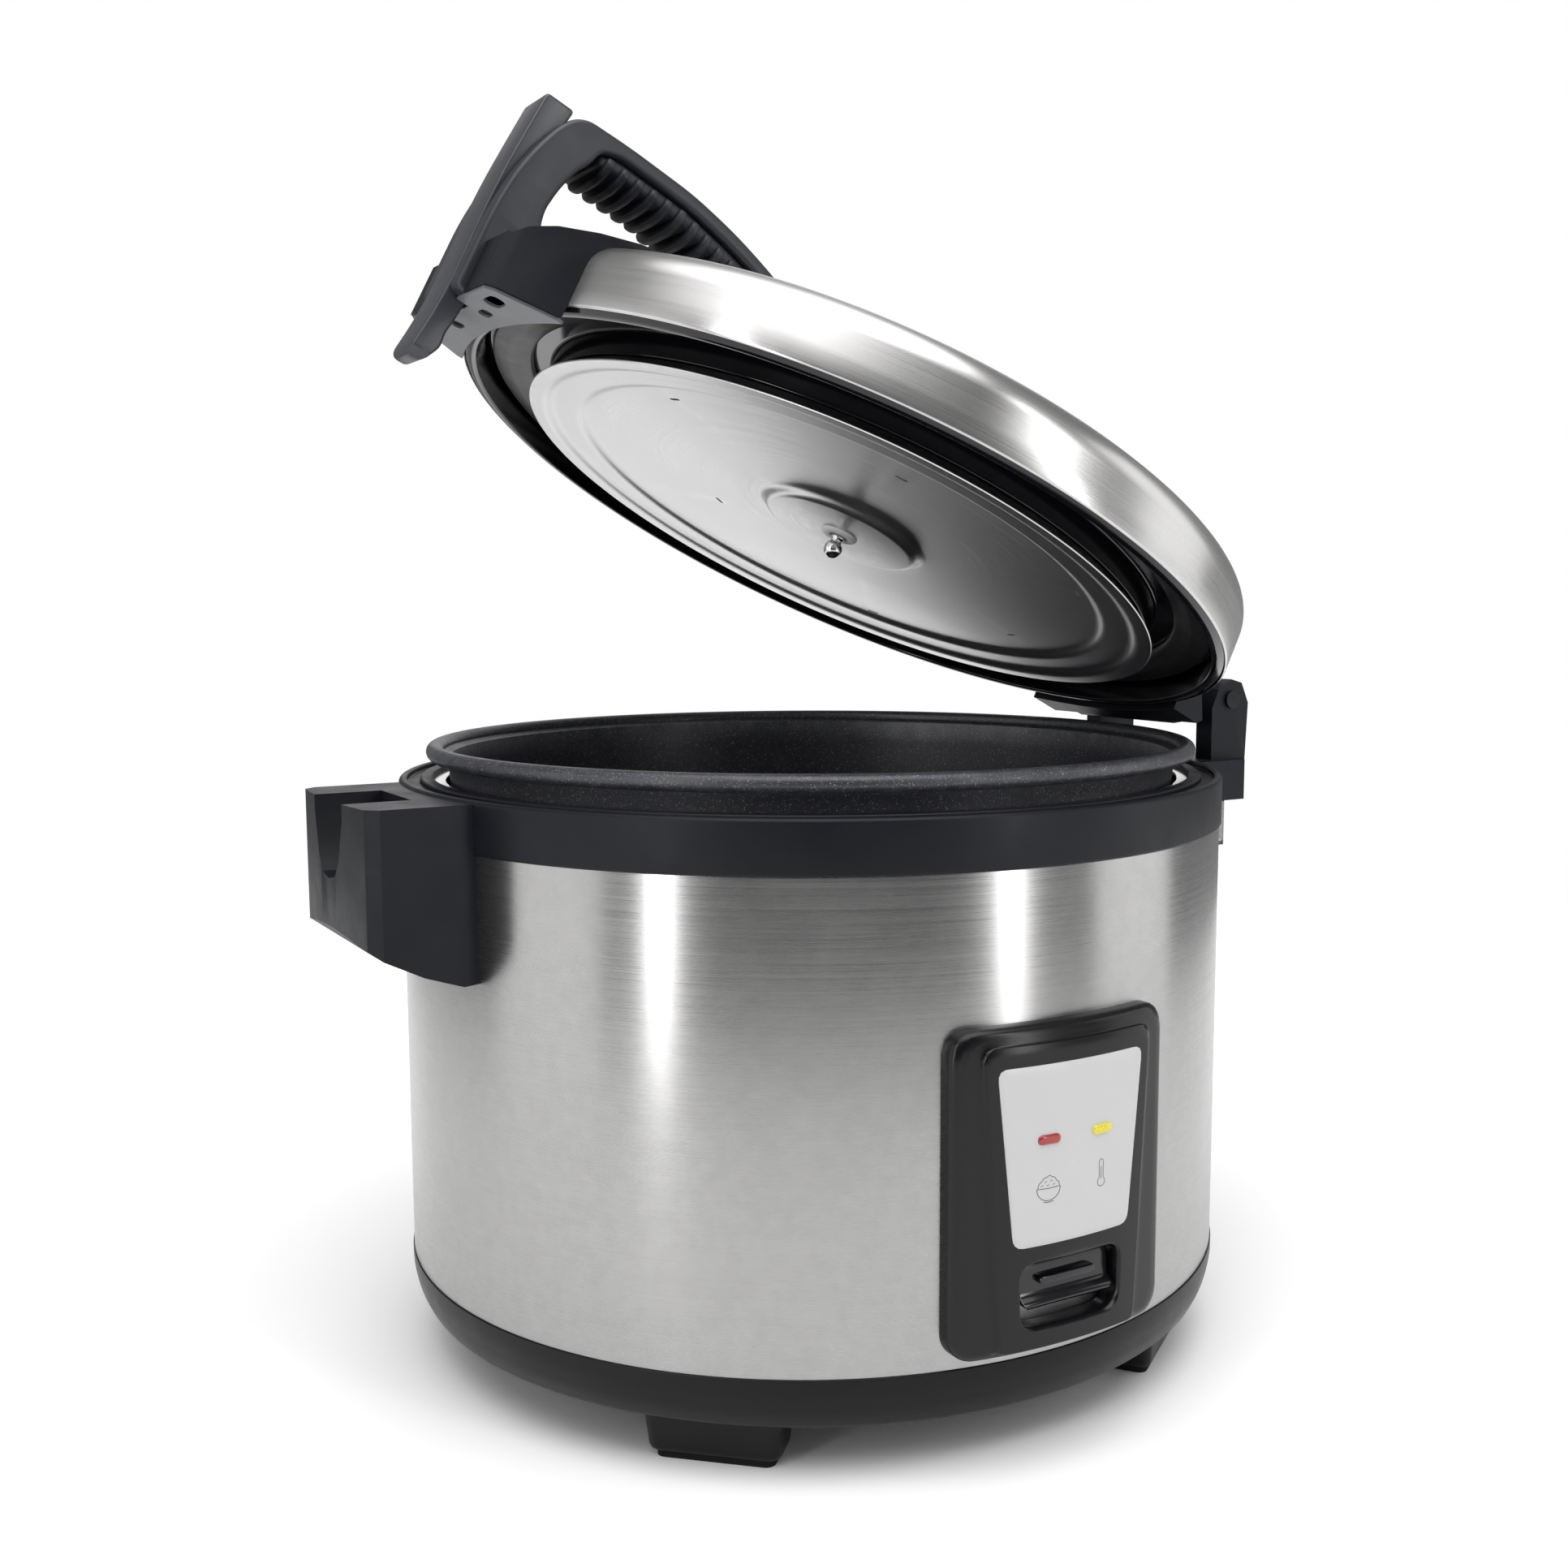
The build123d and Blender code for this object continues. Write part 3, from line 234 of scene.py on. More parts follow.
def lens(name, colour, glow):
    """Tinted indicator lens, lit faintly from behind, with a moulded diffuser pattern."""
    t = Tree(name)
    cells = t.add("ShaderNodeTexVoronoi", Vector=t.place, Scale=1700.0).outputs["Distance"]
    t.put(t.bsdf.inputs["Base Color"],
          t.mix(t.span(cells, 0.1, 0.6, 0.0, 1.0), rgba(colour), shade(colour, 0.72)))
    t.put(t.bsdf.inputs["Roughness"], t.span(t.noise(300, 3), 0.3, 0.7, 0.16, 0.3))
    t.put(t.bsdf.inputs["Normal"], t.bump(cells, 0.00008, 0.3))
    t.bsdf.inputs["Coat Weight"].default_value = 0.5
    t.bsdf.inputs["Emission Color"].default_value = rgba(colour)
    t.bsdf.inputs["Emission Strength"].default_value = glow
    return t.mat


def fibrous(name, colour):
    """Felted glass wool."""
    t = Tree(name)
    fibre = t.noise(1.0, 6, 0.7, t.straight(300, 300, 1800))
    t.put(t.bsdf.inputs["Base Color"],
          t.mix(t.span(fibre, 0.3, 0.7, 0, 1), shade(colour, 0.8), shade(colour, 1.1)))
    t.put(t.bsdf.inputs["Roughness"], t.span(fibre, 0.3, 0.7, 0.85, 1.0))
    t.put(t.bsdf.inputs["Normal"], t.bump(fibre, 0.0006, 0.6))
    t.bsdf.inputs["Sheen Weight"].default_value = 0.4
    return t.mat


FINISH = {
    "steel": brushed("brushed_steel", (0.37, 0.367, 0.364), 0.28, along=7, across=3200, relief=0.0000009,
                     var=0.03),
    "lid_steel": brushed("brushed_lid", (0.55, 0.545, 0.54), 0.29, along=7, across=3200, relief=0.0000006,
                         var=0.025),
    "dish_metal": brushed("satin_dish", (0.60, 0.60, 0.605), 0.31, along=3, across=2200,
                          relief=0.00000015, aniso=0.15, var=0.012),
    "liner_aluminium": brushed("liner_aluminium", (0.72, 0.72, 0.73), 0.34, along=10, across=1200,
                               aniso=0.4),
    "chamber_steel": brushed("polished_flange", (0.74, 0.74, 0.75), 0.14, along=14, across=1800,
                             relief=0.000005, aniso=0.3, var=0.04),
    "galvanised": metal("galvanised", (0.50, 0.52, 0.54), 0.42, grain=500, var=0.22),
    "screw_steel": metal("screw_steel", (0.56, 0.56, 0.57), 0.3),
    "pin_steel": metal("pin_steel", (0.66, 0.66, 0.66), 0.2),
    "blackened_pin": metal("blackened_pin", (0.030, 0.030, 0.033), 0.45),
    "spring_steel": metal("spring_steel", (0.42, 0.43, 0.45), 0.28),
    "cast_aluminium": metal("cast_aluminium", (0.58, 0.58, 0.58), 0.48, grain=400, relief=0.0001,
                            cast=True),
    "cast_iron_magnet": metal("magnet_iron", (0.18, 0.17, 0.17), 0.55, grain=500, relief=0.0001, cast=True),
    "element_steel": metal("element_steel", (0.32, 0.30, 0.29), 0.45, var=0.2),
    "brass_pins": metal("brass_pins", (0.75, 0.56, 0.27), 0.25),
    "body_plastic": plastic("body_plastic", (0.0050, 0.0058, 0.0088), 0.42, grain=2600, relief=0.00005,
                            spec=0.21),
    "handle_plastic": plastic("handle_plastic", (0.021, 0.023, 0.029), 0.40, grain=2600, relief=0.00005,
                              spec=0.46),
    "lever_plastic": plastic("lever_plastic", (0.032, 0.034, 0.042), 0.33, grain=2600, relief=0.00003,
                             spec=0.62),
    "base_plastic": plastic("base_plastic", (0.0040, 0.0040, 0.0050), 0.36, grain=2400, spec=0.20),
    "bezel_plastic": plastic("bezel_plastic", (0.0040, 0.0040, 0.0048), 0.24, grain=1800, relief=0.00002,
                             spec=0.27, coat=0.06),
    "gloss_black": plastic("gloss_black", (0.004, 0.004, 0.0055), 0.12, grain=500, relief=0.00001,
                           spec=0.4, coat=0.2, wear=2.2),
    "grey_plastic": plastic("grey_plastic", (0.14, 0.145, 0.155), 0.42, var=0.06, wear=1.15),
    "foot_rubber": plastic("foot_rubber", (0.006, 0.006, 0.0065), 0.7, grain=1400, relief=0.0001,
                           spec=0.15),
    "grip_rubber": plastic("grip_rubber", (0.020, 0.022, 0.028), 0.5, grain=2000, relief=0.00008,
                           spec=0.45),
    "gasket_rubber": plastic("gasket_rubber", (0.015, 0.015, 0.017), 0.4, grain=900, spec=0.45),
    "heater_rubber": plastic("heater_rubber", (0.32, 0.07, 0.04), 0.6, wear=1.2),
    "terminal_plastic": plastic("terminal_plastic", (0.70, 0.69, 0.64), 0.45, wear=1.1),
    "ceramic_white": plastic("ceramic_white", (0.75, 0.73, 0.69), 0.5, grain=1200, wear=1.1),
    "label_silver": plastic("label_print", (0.50, 0.50, 0.50), 0.36, grain=3000, relief=0.00001,
                            var=0.015, wear=1.05),
    "board": plastic("board", (0.03, 0.11, 0.05), 0.4, grain=700, wear=1.3),
    "clear_silicone": plastic("clear_silicone", (0.62, 0.62, 0.60), 0.45, grain=900, wear=1.05),
    "clear_plastic": clear("clear_plastic", (0.97, 0.98, 0.99), 0.06),
    "nonstick": speckled("nonstick", (0.018, 0.019, 0.024), (0.26, 0.27, 0.30), 0.40),
    "lens_red": lens("lens_red", (0.36, 0.022, 0.025), 0.08),
    "lens_amber": lens("lens_amber", (0.72, 0.62, 0.03), 0.12),
    "glass_wool": fibrous("glass_wool", (0.70, 0.66, 0.52)),
}
SLOT_OF = {entry["node"]: entry["material_slot"] for entry in frame["record"]["subparts"]}


def dress(node, finish):
    """Gives a CAD node its finish."""
    data = NODES[node].data
    if not data.materials:
        data.materials.append(finish)
    for i in range(len(data.materials)):
        data.materials[i] = finish


def refinish(o, finish):
    """Gives a piece another look than its slot's own."""
    o.data.materials[0] = FINISH[finish]


# ------------------------------------------------------------------ mesh building
def clean(bm, crease):
    bmesh.ops.remove_doubles(bm, verts=bm.verts, dist=1e-7)
    bmesh.ops.dissolve_degenerate(bm, edges=bm.edges, dist=1e-7)
    bmesh.ops.recalc_face_normals(bm, faces=bm.faces)
    for f in bm.faces:
        f.smooth = True
    limit = math.radians(crease)
    for e in bm.edges:
        e.smooth = len(e.link_faces) == 2 and e.calc_face_angle(0.0) < limit


def piece(name, bm, slot, body, stands_for=(), place=None, crease=38):
    """A finished mesh as an object that rides on a body.

    place is LID for what is drawn in closed lid coordinates.
    """
    clean(bm, crease)
    mesh = bpy.data.meshes.new(name)
    bm.to_mesh(mesh)
    bm.free()
    o = bpy.data.objects.new(name, mesh)
    bpy.context.scene.collection.objects.link(o)
    if place is not None:
        o.matrix_world = place
    mesh.materials.append(FINISH[slot])
    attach(o, body)
    if stands_for:
        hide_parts(*([stands_for] if isinstance(stands_for, str) else stands_for))
    return o


def grid(bm, rings, closed=True, loop=False):
    """Quads between rings of points in mm, all of one length.

    closed joins each ring's ends, loop joins the last ring to the first.
    """
    rows = [[bm.verts.new([c * MM for c in p]) for p in ring] for ring in rings]
    n = len(rows[0])
    pairs = list(zip(rows, rows[1:])) + ([(rows[-1], rows[0])] if loop else [])
    for a, b in pairs:
        for i in range(n if closed else n - 1):
            j = (i + 1) % n
            bm.faces.new((a[i], a[j], b[j], b[i]))
    return rows


def cap(bm, row):
    """Closes an end with triangles; its outline may turn inwards."""
    for a, b, c in tessellate_polygon([[v.co * 1000 for v in row]]):
        if len({a, b, c}) == 3 and not bm.faces.get((row[a], row[b], row[c])):
            bm.faces.new((row[a], row[b], row[c]))


def soften(points, reach, steps=5, closed=True, share=0.46):
    """Rounds each corner of a 2-D outline.

    reach is how far back from the corner the round starts: one number, or one for each corner.
    """
    out, n = [], len(points)
    for i, p in enumerate(points):
        if not closed and i in (0, n - 1):
            out.append(tuple(p))
            continue
        a, b = Vector(points[i - 1]), Vector(points[(i + 1) % n])
        p = Vector(p)
        back = reach[i] if isinstance(reach, (list, tuple)) else reach
        back = min(back, share * (a - p).length, share * (b - p).length)
        if back < 0.02:
            out.append(tuple(p))
            continue
        s, e = p + (a - p).normalized() * back, p + (b - p).normalized() * back
        for k in range(steps + 1):
            t = k / steps
            out.append(tuple(s * (1 - t) ** 2 + p * 2 * t * (1 - t) + e * t * t))
    return out


def lathe(bm, profile, turns=224, solid=True):
    """A profile (r, z) turned round Z. solid closes the profile; else it runs from axis to axis."""
    rings = []
    for k in range(turns):
        a = 2 * math.pi * k / turns
        rings.append([(r * math.cos(a), r * math.sin(a), z) for r, z in profile])
    grid(bm, rings, closed=solid, loop=True)


def inset(points, distance):
    """The outline moved inwards by distance."""
    area = sum(a[0] * b[1] - b[0] * a[1] for a, b in zip(points, points[1:] + points[:1]))
    side, out, n = (1 if area > 0 else -1), [], len(points)
    for i, p in enumerate(points):
        a, b = Vector(points[i - 1]), Vector(points[(i + 1) % n])
        p = Vector(p)
        u, v = (p - a), (b - p)
        u = u.normalized() if u.length > 1e-9 else v.normalized()
        v = v.normalized() if v.length > 1e-9 else u
        m = Vector((-(u.y + v.y), u.x + v.x)) * side
        if m.length < 1e-6:
            m = Vector((-u.y, u.x)) * side
        m.normalize()
        nu = Vector((-u.y, u.x)) * side
        out.append(tuple(p + m * distance / max(0.55, m.dot(nu))))
    return out


def prism(bm, outline, lo, hi, radius, frame3, steps=5):
    """An outline pushed from lo to hi, with its two rims rounded. frame3(u, v, w) gives the point in mm."""
    rings = []
    for k in range(steps + 1):
        t = math.radians(90 * (1 - k / steps))
        rings.append((inset(outline, radius * (1 - math.cos(t))), lo + radius * (1 - math.sin(t))))
    rings += [(o, lo + hi - w) for o, w in reversed(rings)]
    rows = grid(bm, [[frame3(u, v, w) for u, v in o] for o, w in rings])
    cap(bm, rows[0])
    cap(bm, rows[-1])


def side_on(u, v, w):
    """Outline in (x, z), thickness along y."""
    return (u, w, v)


def end_on(u, v, w):
    """Outline in (y, z), thickness along x."""
    return (w, u, v)


def stadium(width, height, n=10):
    """A slot's outline round (0, 0), its long side along the first axis."""
    r, half = height / 2, (width - height) / 2
    return [(half + r * math.cos(math.radians(a)), r * math.sin(math.radians(a)))
            for a in [-90 + 180 * k / n for k in range(n + 1)]] + \
           [(-half + r * math.cos(math.radians(a)), r * math.sin(math.radians(a)))
            for a in [90 + 180 * k / n for k in range(n + 1)]]


def rounded_box(w, h, r, n=6, cx=0.0, cy=0.0):
    """A rectangle's outline with round corners, anticlockwise from its lower right side."""
    out = []
    for sx, sy, a0 in ((1, -1, -90), (1, 1, 0), (-1, 1, 90), (-1, -1, 180)):
        for k in range(n + 1):
            a = math.radians(a0 + 90 * k / n)
            out.append((cx + sx * (w / 2 - r) + r * math.cos(a), cy + sy * (h / 2 - r) + r * math.sin(a)))
    return out


def scratch_object(name, bm):
    """A mesh as a plain object, for a boolean only."""
    clean(bm, 38)
    mesh = bpy.data.meshes.new(name)
    bm.to_mesh(mesh)
    bm.free()
    o = bpy.data.objects.new(name, mesh)
    bpy.context.scene.collection.objects.link(o)
    return o


def carve(bm, cutters, operation="DIFFERENCE"):
    """The mesh after cutting it by each cutter mesh."""
    body = scratch_object("carved", bm)
    for c in cutters:
        tool = scratch_object("cutter", c)
        m = body.modifiers.new("cut", "BOOLEAN")
        m.object, m.operation, m.solver = tool, operation, "EXACT"
    bpy.context.view_layer.update()
    result = body.evaluated_get(bpy.context.evaluated_depsgraph_get()).to_mesh()
    out = bmesh.new()
    out.from_mesh(result)
    tools = [m.object for m in body.modifiers]
    for o in [body] + tools:
        bpy.data.objects.remove(o)
    return out


def softened(node, name, slot, body, width):
    """A CAD node's shape with its outer edges rounded, as a new piece that stands for the node."""
    bm = bmesh.new()
    bm.from_mesh(NODES[node].data)
    bmesh.ops.remove_doubles(bm, verts=bm.verts, dist=2e-6)
    bmesh.ops.dissolve_limit(bm, angle_limit=math.radians(0.8), verts=bm.verts, edges=bm.edges)
    o = piece(name, bm, slot, body, node)
    m = o.modifiers.new("edges", "BEVEL")
    m.width, m.segments, m.limit_method = width * MM, 3, "ANGLE"
    m.angle_limit, m.harden_normals = math.radians(28), False
    m.miter_outer = "MITER_ARC"
    return o


# ------------------------------------------------------------------ body: turned parts
bm = bmesh.new()
lathe(bm, soften([(R_SHELL - SHEET, Z_SHELL_LO), (R_SHELL, Z_SHELL_LO), (R_SHELL, Z_SHELL_HI),
                  (R_SHELL - SHEET, Z_SHELL_HI)], 0.25, 2))
piece("steel_body", bm, "steel", "base", "outer_shell")

bm = bmesh.new()
lathe(bm, soften([(130, 21.9), (182.6, 21.9), (185.6, 23.6), (188.6, 29.5), (190.5, 38), (190.5, 44.5),
                  (189.6, 44.8), (189.1, 44.4), (187.2, 43), (187.2, 39), (185.2, 31), (182.6, 26.6),
                  (180, 24.4), (130, 24.4)], 3.0, 5))
piece("base_skirt", bm, "base_plastic", "base", "base_ring")

bm = bmesh.new()
lathe(bm, soften([(175.6, 252), (175.6, 260.1), (176.2, 260.7), (181, 260.7), (181.6, 260.1), (181.6, 258.0),
                  (187.4, 258.0), (187.4, 260.2), (187.9, 260.7), (189.8, 260.7), (191, 259.5), (191, 239.2),
                  (190.2, 238.6), (189.15, 238.6), (189.15, 229), (186.6, 229), (186.6, 252)], 0.8, 4))
piece("collar_ring", bm, "body_plastic", "base", "collar")

# ------------------------------------------------------------------ pot and chamber
bm = bmesh.new()
wall_out = [(118, 78), (133, 79.3), (147, 84.6), (156.5, 93), (163, 105), (166.2, 118), (167.1, 126),
            (168.5, 262), (170, 270)]
wall_in = [(168, 269.6), (166.4, 262), (165.0, 126), (164.1, 118), (160.9, 105.8), (154.6, 94.4),
           (145.6, 86.6), (132.4, 81.4), (117.5, 80)]
roll = [(175 + 3.8 * math.cos(math.radians(a)), 271.7 + 3.8 * math.sin(math.radians(a)))
        for a in range(188, -142, -12)]
lathe(bm, [(0, 78)] + soften(wall_out, 8, 3, closed=False) + [(171.5, 268.9)] + roll[::-1] + [(170.9, 270.9)]
      + soften(wall_in, 8, 3, closed=False) + [(0, 80)], solid=False, turns=256)
piece("cooking_pot", bm, "nonstick", "pot", "inner_pot")

bm = bmesh.new()
lathe(bm, soften([(84, 58), (171, 58), (171, 258.0), (175.6, 258.0), (175.6, 258.8), (170.7, 258.8),
                  (170.2, 258.3), (170.2, 58.8), (84, 58.8)], 0.3, 3))
piece("chamber", bm, "chamber_steel", "base", "inner_casing")

# ------------------------------------------------------------------ lid: turned parts, in closed coordinates
dome = [(r, 312 - 2.3738e-4 * r * r - 4.2624e-9 * r ** 4)
        for r in (0, 15, 30, 50, 70, 90, 110, 130, 150, 165, 178)]
shoulder = [(178 + 13.2 * math.sin(math.radians(a)), 286.5 + 13.7 * math.cos(math.radians(a)))
            for a in (14, 22, 30, 38, 46, 54, 62, 70, 78, 85, 90)]
bm = bmesh.new()
outer = dome + shoulder + [(191.2, 277), (191.2, 269.0), (190.9, 268.1)]
inner = [(r - (SHEET if r > 185 else 0), z - (SHEET if r <= 185 else 0)) for r, z in reversed(outer[:-1])]
lathe(bm, outer + [(190.5, 267.9)] + inner, solid=False, turns=288)
lid_band = piece("lid_shell", bm, "steel", "lid", "lid_cover", LID, crease=50)
refinish(lid_band, "lid_steel")

bm = bmesh.new()
lathe(bm, soften([(184.2, 267.2), (185.0, 266.4), (187.2, 266.4), (190.3, 268.6), (190.3, 284), (150, 284),
                  (150, 270), (152.5, 270), (152.5, 281.8), (184.2, 281.8)],
                 [0.4, 0.8, 1.2, 0.8, 0.5, 0.5, 0.8, 0.8, 2.0, 2.5], 5), turns=256)
piece("lid_channel", bm, "gloss_black", "lid", "lid_ring", LID)

bm = bmesh.new()
lathe(bm, soften([(162, 281.8), (162, 278.8), (167, 277.6), (172, 275.9), (180, 276.2), (181, 278),
                  (174, 279.2), (172, 281.8)], 1.2, 4))
piece("lid_seal", bm, "gasket_rubber", "lid", "lid_gasket", LID)

dish_low = soften([(9, 266.8), (37.5, 266.8), (41, 270.9), (60, 270.6), (129.5, 269.0), (133, 266.6),
                   (146, 266.6), (149.5, 264.3), (156.8, 264.3)], [0, 2.2, 3.0, 8, 3.0, 3.0, 3.0, 3.0, 0],
                   6, closed=False)
bm = bmesh.new()
lathe(bm, dish_low + [(157.1, 264.7)] + [(r, z + SHEET) for r, z in reversed(dish_low)], turns=256)
cutters = []
for r, a in ((118, 15), (108, 70), (76, -64), (124, 122), (112, 179), (128, -133)):
    t = math.radians(180 + a)
    c, s = math.cos(t), math.sin(t)
    cut = bmesh.new()
    prism(cut, stadium(6, 1.6, 6), 255, 285, 0.01,
          lambda u, v, w, r=r, c=c, s=s: (r * c - u * s - v * c, r * s + u * c - v * s, w), steps=1)
    cutters.append(cut)
piece("inner_dish", carve(bm, cutters), "dish_metal", "inner_lid", "inner_lid", LID, crease=50)

ball = [(0, 254.5)] + [(4.4 * math.cos(math.radians(a)), 259.0 + 4.4 * math.sin(math.radians(a)))
                       for a in range(-75, 46, 12)]
bm = bmesh.new()
lathe(bm, ball + soften([(2.7, 262.4), (2.6, 263.4), (3.4, 264.5), (3.4, 280), (6, 280), (6, 281.5)], 0.4, 3,
                        closed=False) + [(0, 281.5)], turns=48, solid=False)
piece("ball_stud", bm, "pin_steel", "lid", "dish_stud", LID)

bm = bmesh.new()
lathe(bm, soften([(4.7, 265.2), (7.6, 265.2), (9, 266.3), (9, 269.2), (4.7, 269.2)], 0.7, 4), turns=64)
piece("stud_grommet", bm, "clear_silicone", "inner_lid", "dish_grommet", LID)

# ------------------------------------------------------------------ feet
for i, a in enumerate(FOOT_ANGLES):
    t = math.radians(a)
    cx, cy, ux, uy = FOOT_R * math.sin(t), -FOOT_R * math.cos(t), math.cos(t), math.sin(t)
    rows = []
    for w, h, r, z in ((49, 16.6, 4, 3.0), (52, 19.2, 4.5, 3.2), (54, 21.0, 5, 4.0), (55, 22, 5, 5.6),
                       (56.6, 23.5, 5, 14.0), (58, 25, 5, Z_BASE)):
        rows.append([(cx + u * ux - v * uy, cy + u * uy + v * ux, z) for u, v in rounded_box(w, h, r)])
    bm = bmesh.new()
    made = grid(bm, rows)
    cap(bm, made[0])
    cap(bm, made[-1])
    piece(f"foot_block_{i + 1}", bm, "base_plastic", "base", f"foot_{i + 1}")

# ------------------------------------------------------------------ latch block, lid block and hinge parts
softened("latch_block", "latch_housing", "body_plastic", "base", 1.3)
softened("lid_front_block", "front_housing", "body_plastic", "lid", 1.5)
softened("hinge_housing", "hinge_base", "body_plastic", "base", 1.5)
softened("lid_hinge_arm", "hinge_leaf", "body_plastic", "lid", 1.5)
softened("cup_bracket", "cup_carrier", "body_plastic", "base", 1.2)
softened("power_inlet", "inlet_housing", "base_plastic", "base", 0.6)
softened("front_block_cover", "latch_plate", "grey_plastic", "lid", 0.35)

# ------------------------------------------------------------------ handle: an arch with a lever channel
arch = [(-203.4, 262.6), (-214.4, 262.6), (-214.4, 300), (-212.5, 318), (-209, 332), (-204.5, 344),
        (-200, 351), (-194, 354.2), (-174.5, 355), (-140.4, 354.4), (-118, 351.2), (-101.5, 347.5),
        (-78.3, 341), (-55, 331.5), (-35, 320), (-22, 309), (-20, 300), (-62, 300), (-64, 312),
        (-71, 319), (-88, 327.5), (-89, 336.8), (-101.5, 340.8), (-118, 344.3), (-140, 347.6),
        (-176, 348.3), (-184, 345.5), (-185.6, 339.0), (-189.5, 333), (-193, 322), (-194.6, 311),
        (-193.4, 304), (-190.5, 300), (-187, 298.6), (-188, 294), (-203.4, 291.4)]
bm = bmesh.new()
prism(bm, soften(arch, 9, 5), -HANDLE_W / 2, HANDLE_W / 2, 2.2, side_on)
channel = bmesh.new()
prism(channel, [(-240, 370), (-189, 370), (-190, 356), (-203.2, 304), (-203.4, 250), (-240, 250)],
      -LEVER_W / 2 - LEVER_GAP, LEVER_W / 2 + LEVER_GAP, CUT_EDGE, side_on, steps=1)
handle = piece("handle_arch", carve(bm, [channel]), "body_plastic", "lid", "lid_handle", LID)
refinish(handle, "handle_plastic")

bm = bmesh.new()
grip = [(-184, 345.2), (-176, 347.9), (-140, 347.2), (-118, 343.9), (-101.5, 340.4), (-89, 336.4),
        (-88.6, 331.5), (-90.5, 329.8), (-104, 333.8), (-118, 337.2), (-140, 341.0), (-176, 342.0),
        (-183, 340.6)]
prism(bm, soften(grip, 3, 4), -19.5, 19.5, 2.5, side_on)
for k in range(12):
    x = -178.5 + 7.4 * k
    top = 346.2 - max(0.0, x + 140) * 0.205
    low = 336.0 - max(0.0, x + 150) * 0.175
    rib = [(-20.8, top), (-21.8, top - 3), (-21.2, low + 6), (-17.5, low + 3.0), (-10, low + 0.8), (0, low),
           (10, low + 0.8), (17.5, low + 3.0), (21.2, low + 6), (21.8, top - 3), (20.8, top)]
    prism(bm, soften(rib, 2.5, 4), x - 1.9, x + 1.9, 1.2, end_on, steps=3)
piece("ribbed_grip", bm, "grip_rubber", "lid", "grip_insert", LID)

# ------------------------------------------------------------------ latch lever: a blade with a round foot
blade = [(-212.3, 357.5), (-213.6, 340), (-214.9, 320), (-215.3, 302), (-215.0, 283), (-214.8, 266),
         (-215.9, 249), (-217.6, 236), (-216.6, 232.2), (-213.5, 231.5), (-210, 233.5), (-206.4, 241),
         (-207.2, 247), (-205.9, 254), (-205.0, 266), (-204.6, 302), (-203.6, 320), (-201.6, 338),
         (-198.8, 357.5)]
reach = [2.0, 9, 9, 9, 9, 8, 6, 2.5, 1.5, 1.5, 2.5, 2.5, 2.5, 4, 6, 9, 9, 9, 2.0]
bm = bmesh.new()
prism(bm, soften(blade, reach, 5), -LEVER_W / 2, LEVER_W / 2, 1.3, side_on)
tip = bmesh.new()
prism(tip, [(-LEVER_W / 2 - 1, 362), (-LEVER_W / 2 - 1, 239.5)]
      + [(-LEVER_W / 2 + 8 - 8.4 * math.cos(math.radians(a)), 239.4 - 8.0 * math.sin(math.radians(a)))
         for a in range(0, 91, 10)]
      + [(LEVER_W / 2 - 8 + 8.4 * math.sin(math.radians(a)), 239.4 - 8.0 * math.cos(math.radians(a)))
         for a in range(0, 91, 10)]
      + [(LEVER_W / 2 + 1, 239.5), (LEVER_W / 2 + 1, 362)], -235, -190, CUT_EDGE, end_on, steps=1)
lever = piece("latch_blade", carve(bm, [tip], "INTERSECT"), "body_plastic", "latch_lever", "latch_lever", LID)
refinish(lever, "lever_plastic")

# ------------------------------------------------------------------ control panel
def on_panel(x, z, h):
    """A point h outside the steel body, at this place on the panel's front view."""
    return (x, -math.sqrt((R_SHELL + h) ** 2 - x * x), z)


def ray_ring(cx, cz, outline, n=160):
    """The outline read at n even directions from (cx, cz)."""
    pts = []
    for k in range(n):
        a = 2 * math.pi * (k + 0.5) / n
        d = Vector((math.cos(a), math.sin(a)))
        best = None
        for p, q in zip(outline, outline[1:] + outline[:1]):
            px, pz, ex, ez = p[0] - cx, p[1] - cz, q[0] - p[0], q[1] - p[1]
            den = d.x * ez - d.y * ex
            if abs(den) < 1e-12:
                continue
            t = (px * ez - pz * ex) / den
            u = (px * d.y - pz * d.x) / den
            if t > 0 and -1e-9 <= u <= 1 + 1e-9 and (best is None or t < best):
                best = t
        pts.append((cx + d.x * best, cz + d.y * best))
    return pts


PANEL = rounded_box(PANEL_W, PANEL_H, 10, 10, 0, PANEL_MID)
FIELD = soften([(-41.5, 172.5), (41.5, 172.5), (33.2, 51.8), (-33.2, 51.8)], [7, 7, 3, 3], 8)
RECESS = soften([(-24.5, 59.0), (24.5, 59.0), (25.0, 86.4), (-25.0, 86.4)], [9, 9, 8, 8], 8)
eye = (0.0, RECESS_MID)
outer_ring, field_ring, recess_ring = (ray_ring(*eye, o, 224) for o in (PANEL, FIELD, RECESS))


def between(a, b, t):
    return [(p[0] + (q[0] - p[0]) * t, p[1] + (q[1] - p[1]) * t) for p, q in zip(a, b)]


def pulled(ring, d):
    """The ring drawn in towards the panel's middle by about d mm."""
    out = []
    for x, z in ring:
        fx, fz = 1 - 2 * d / PANEL_W, 1 - 2 * d / PANEL_H
        out.append((x * fx, PANEL_MID + (z - PANEL_MID) * fz))
    return out


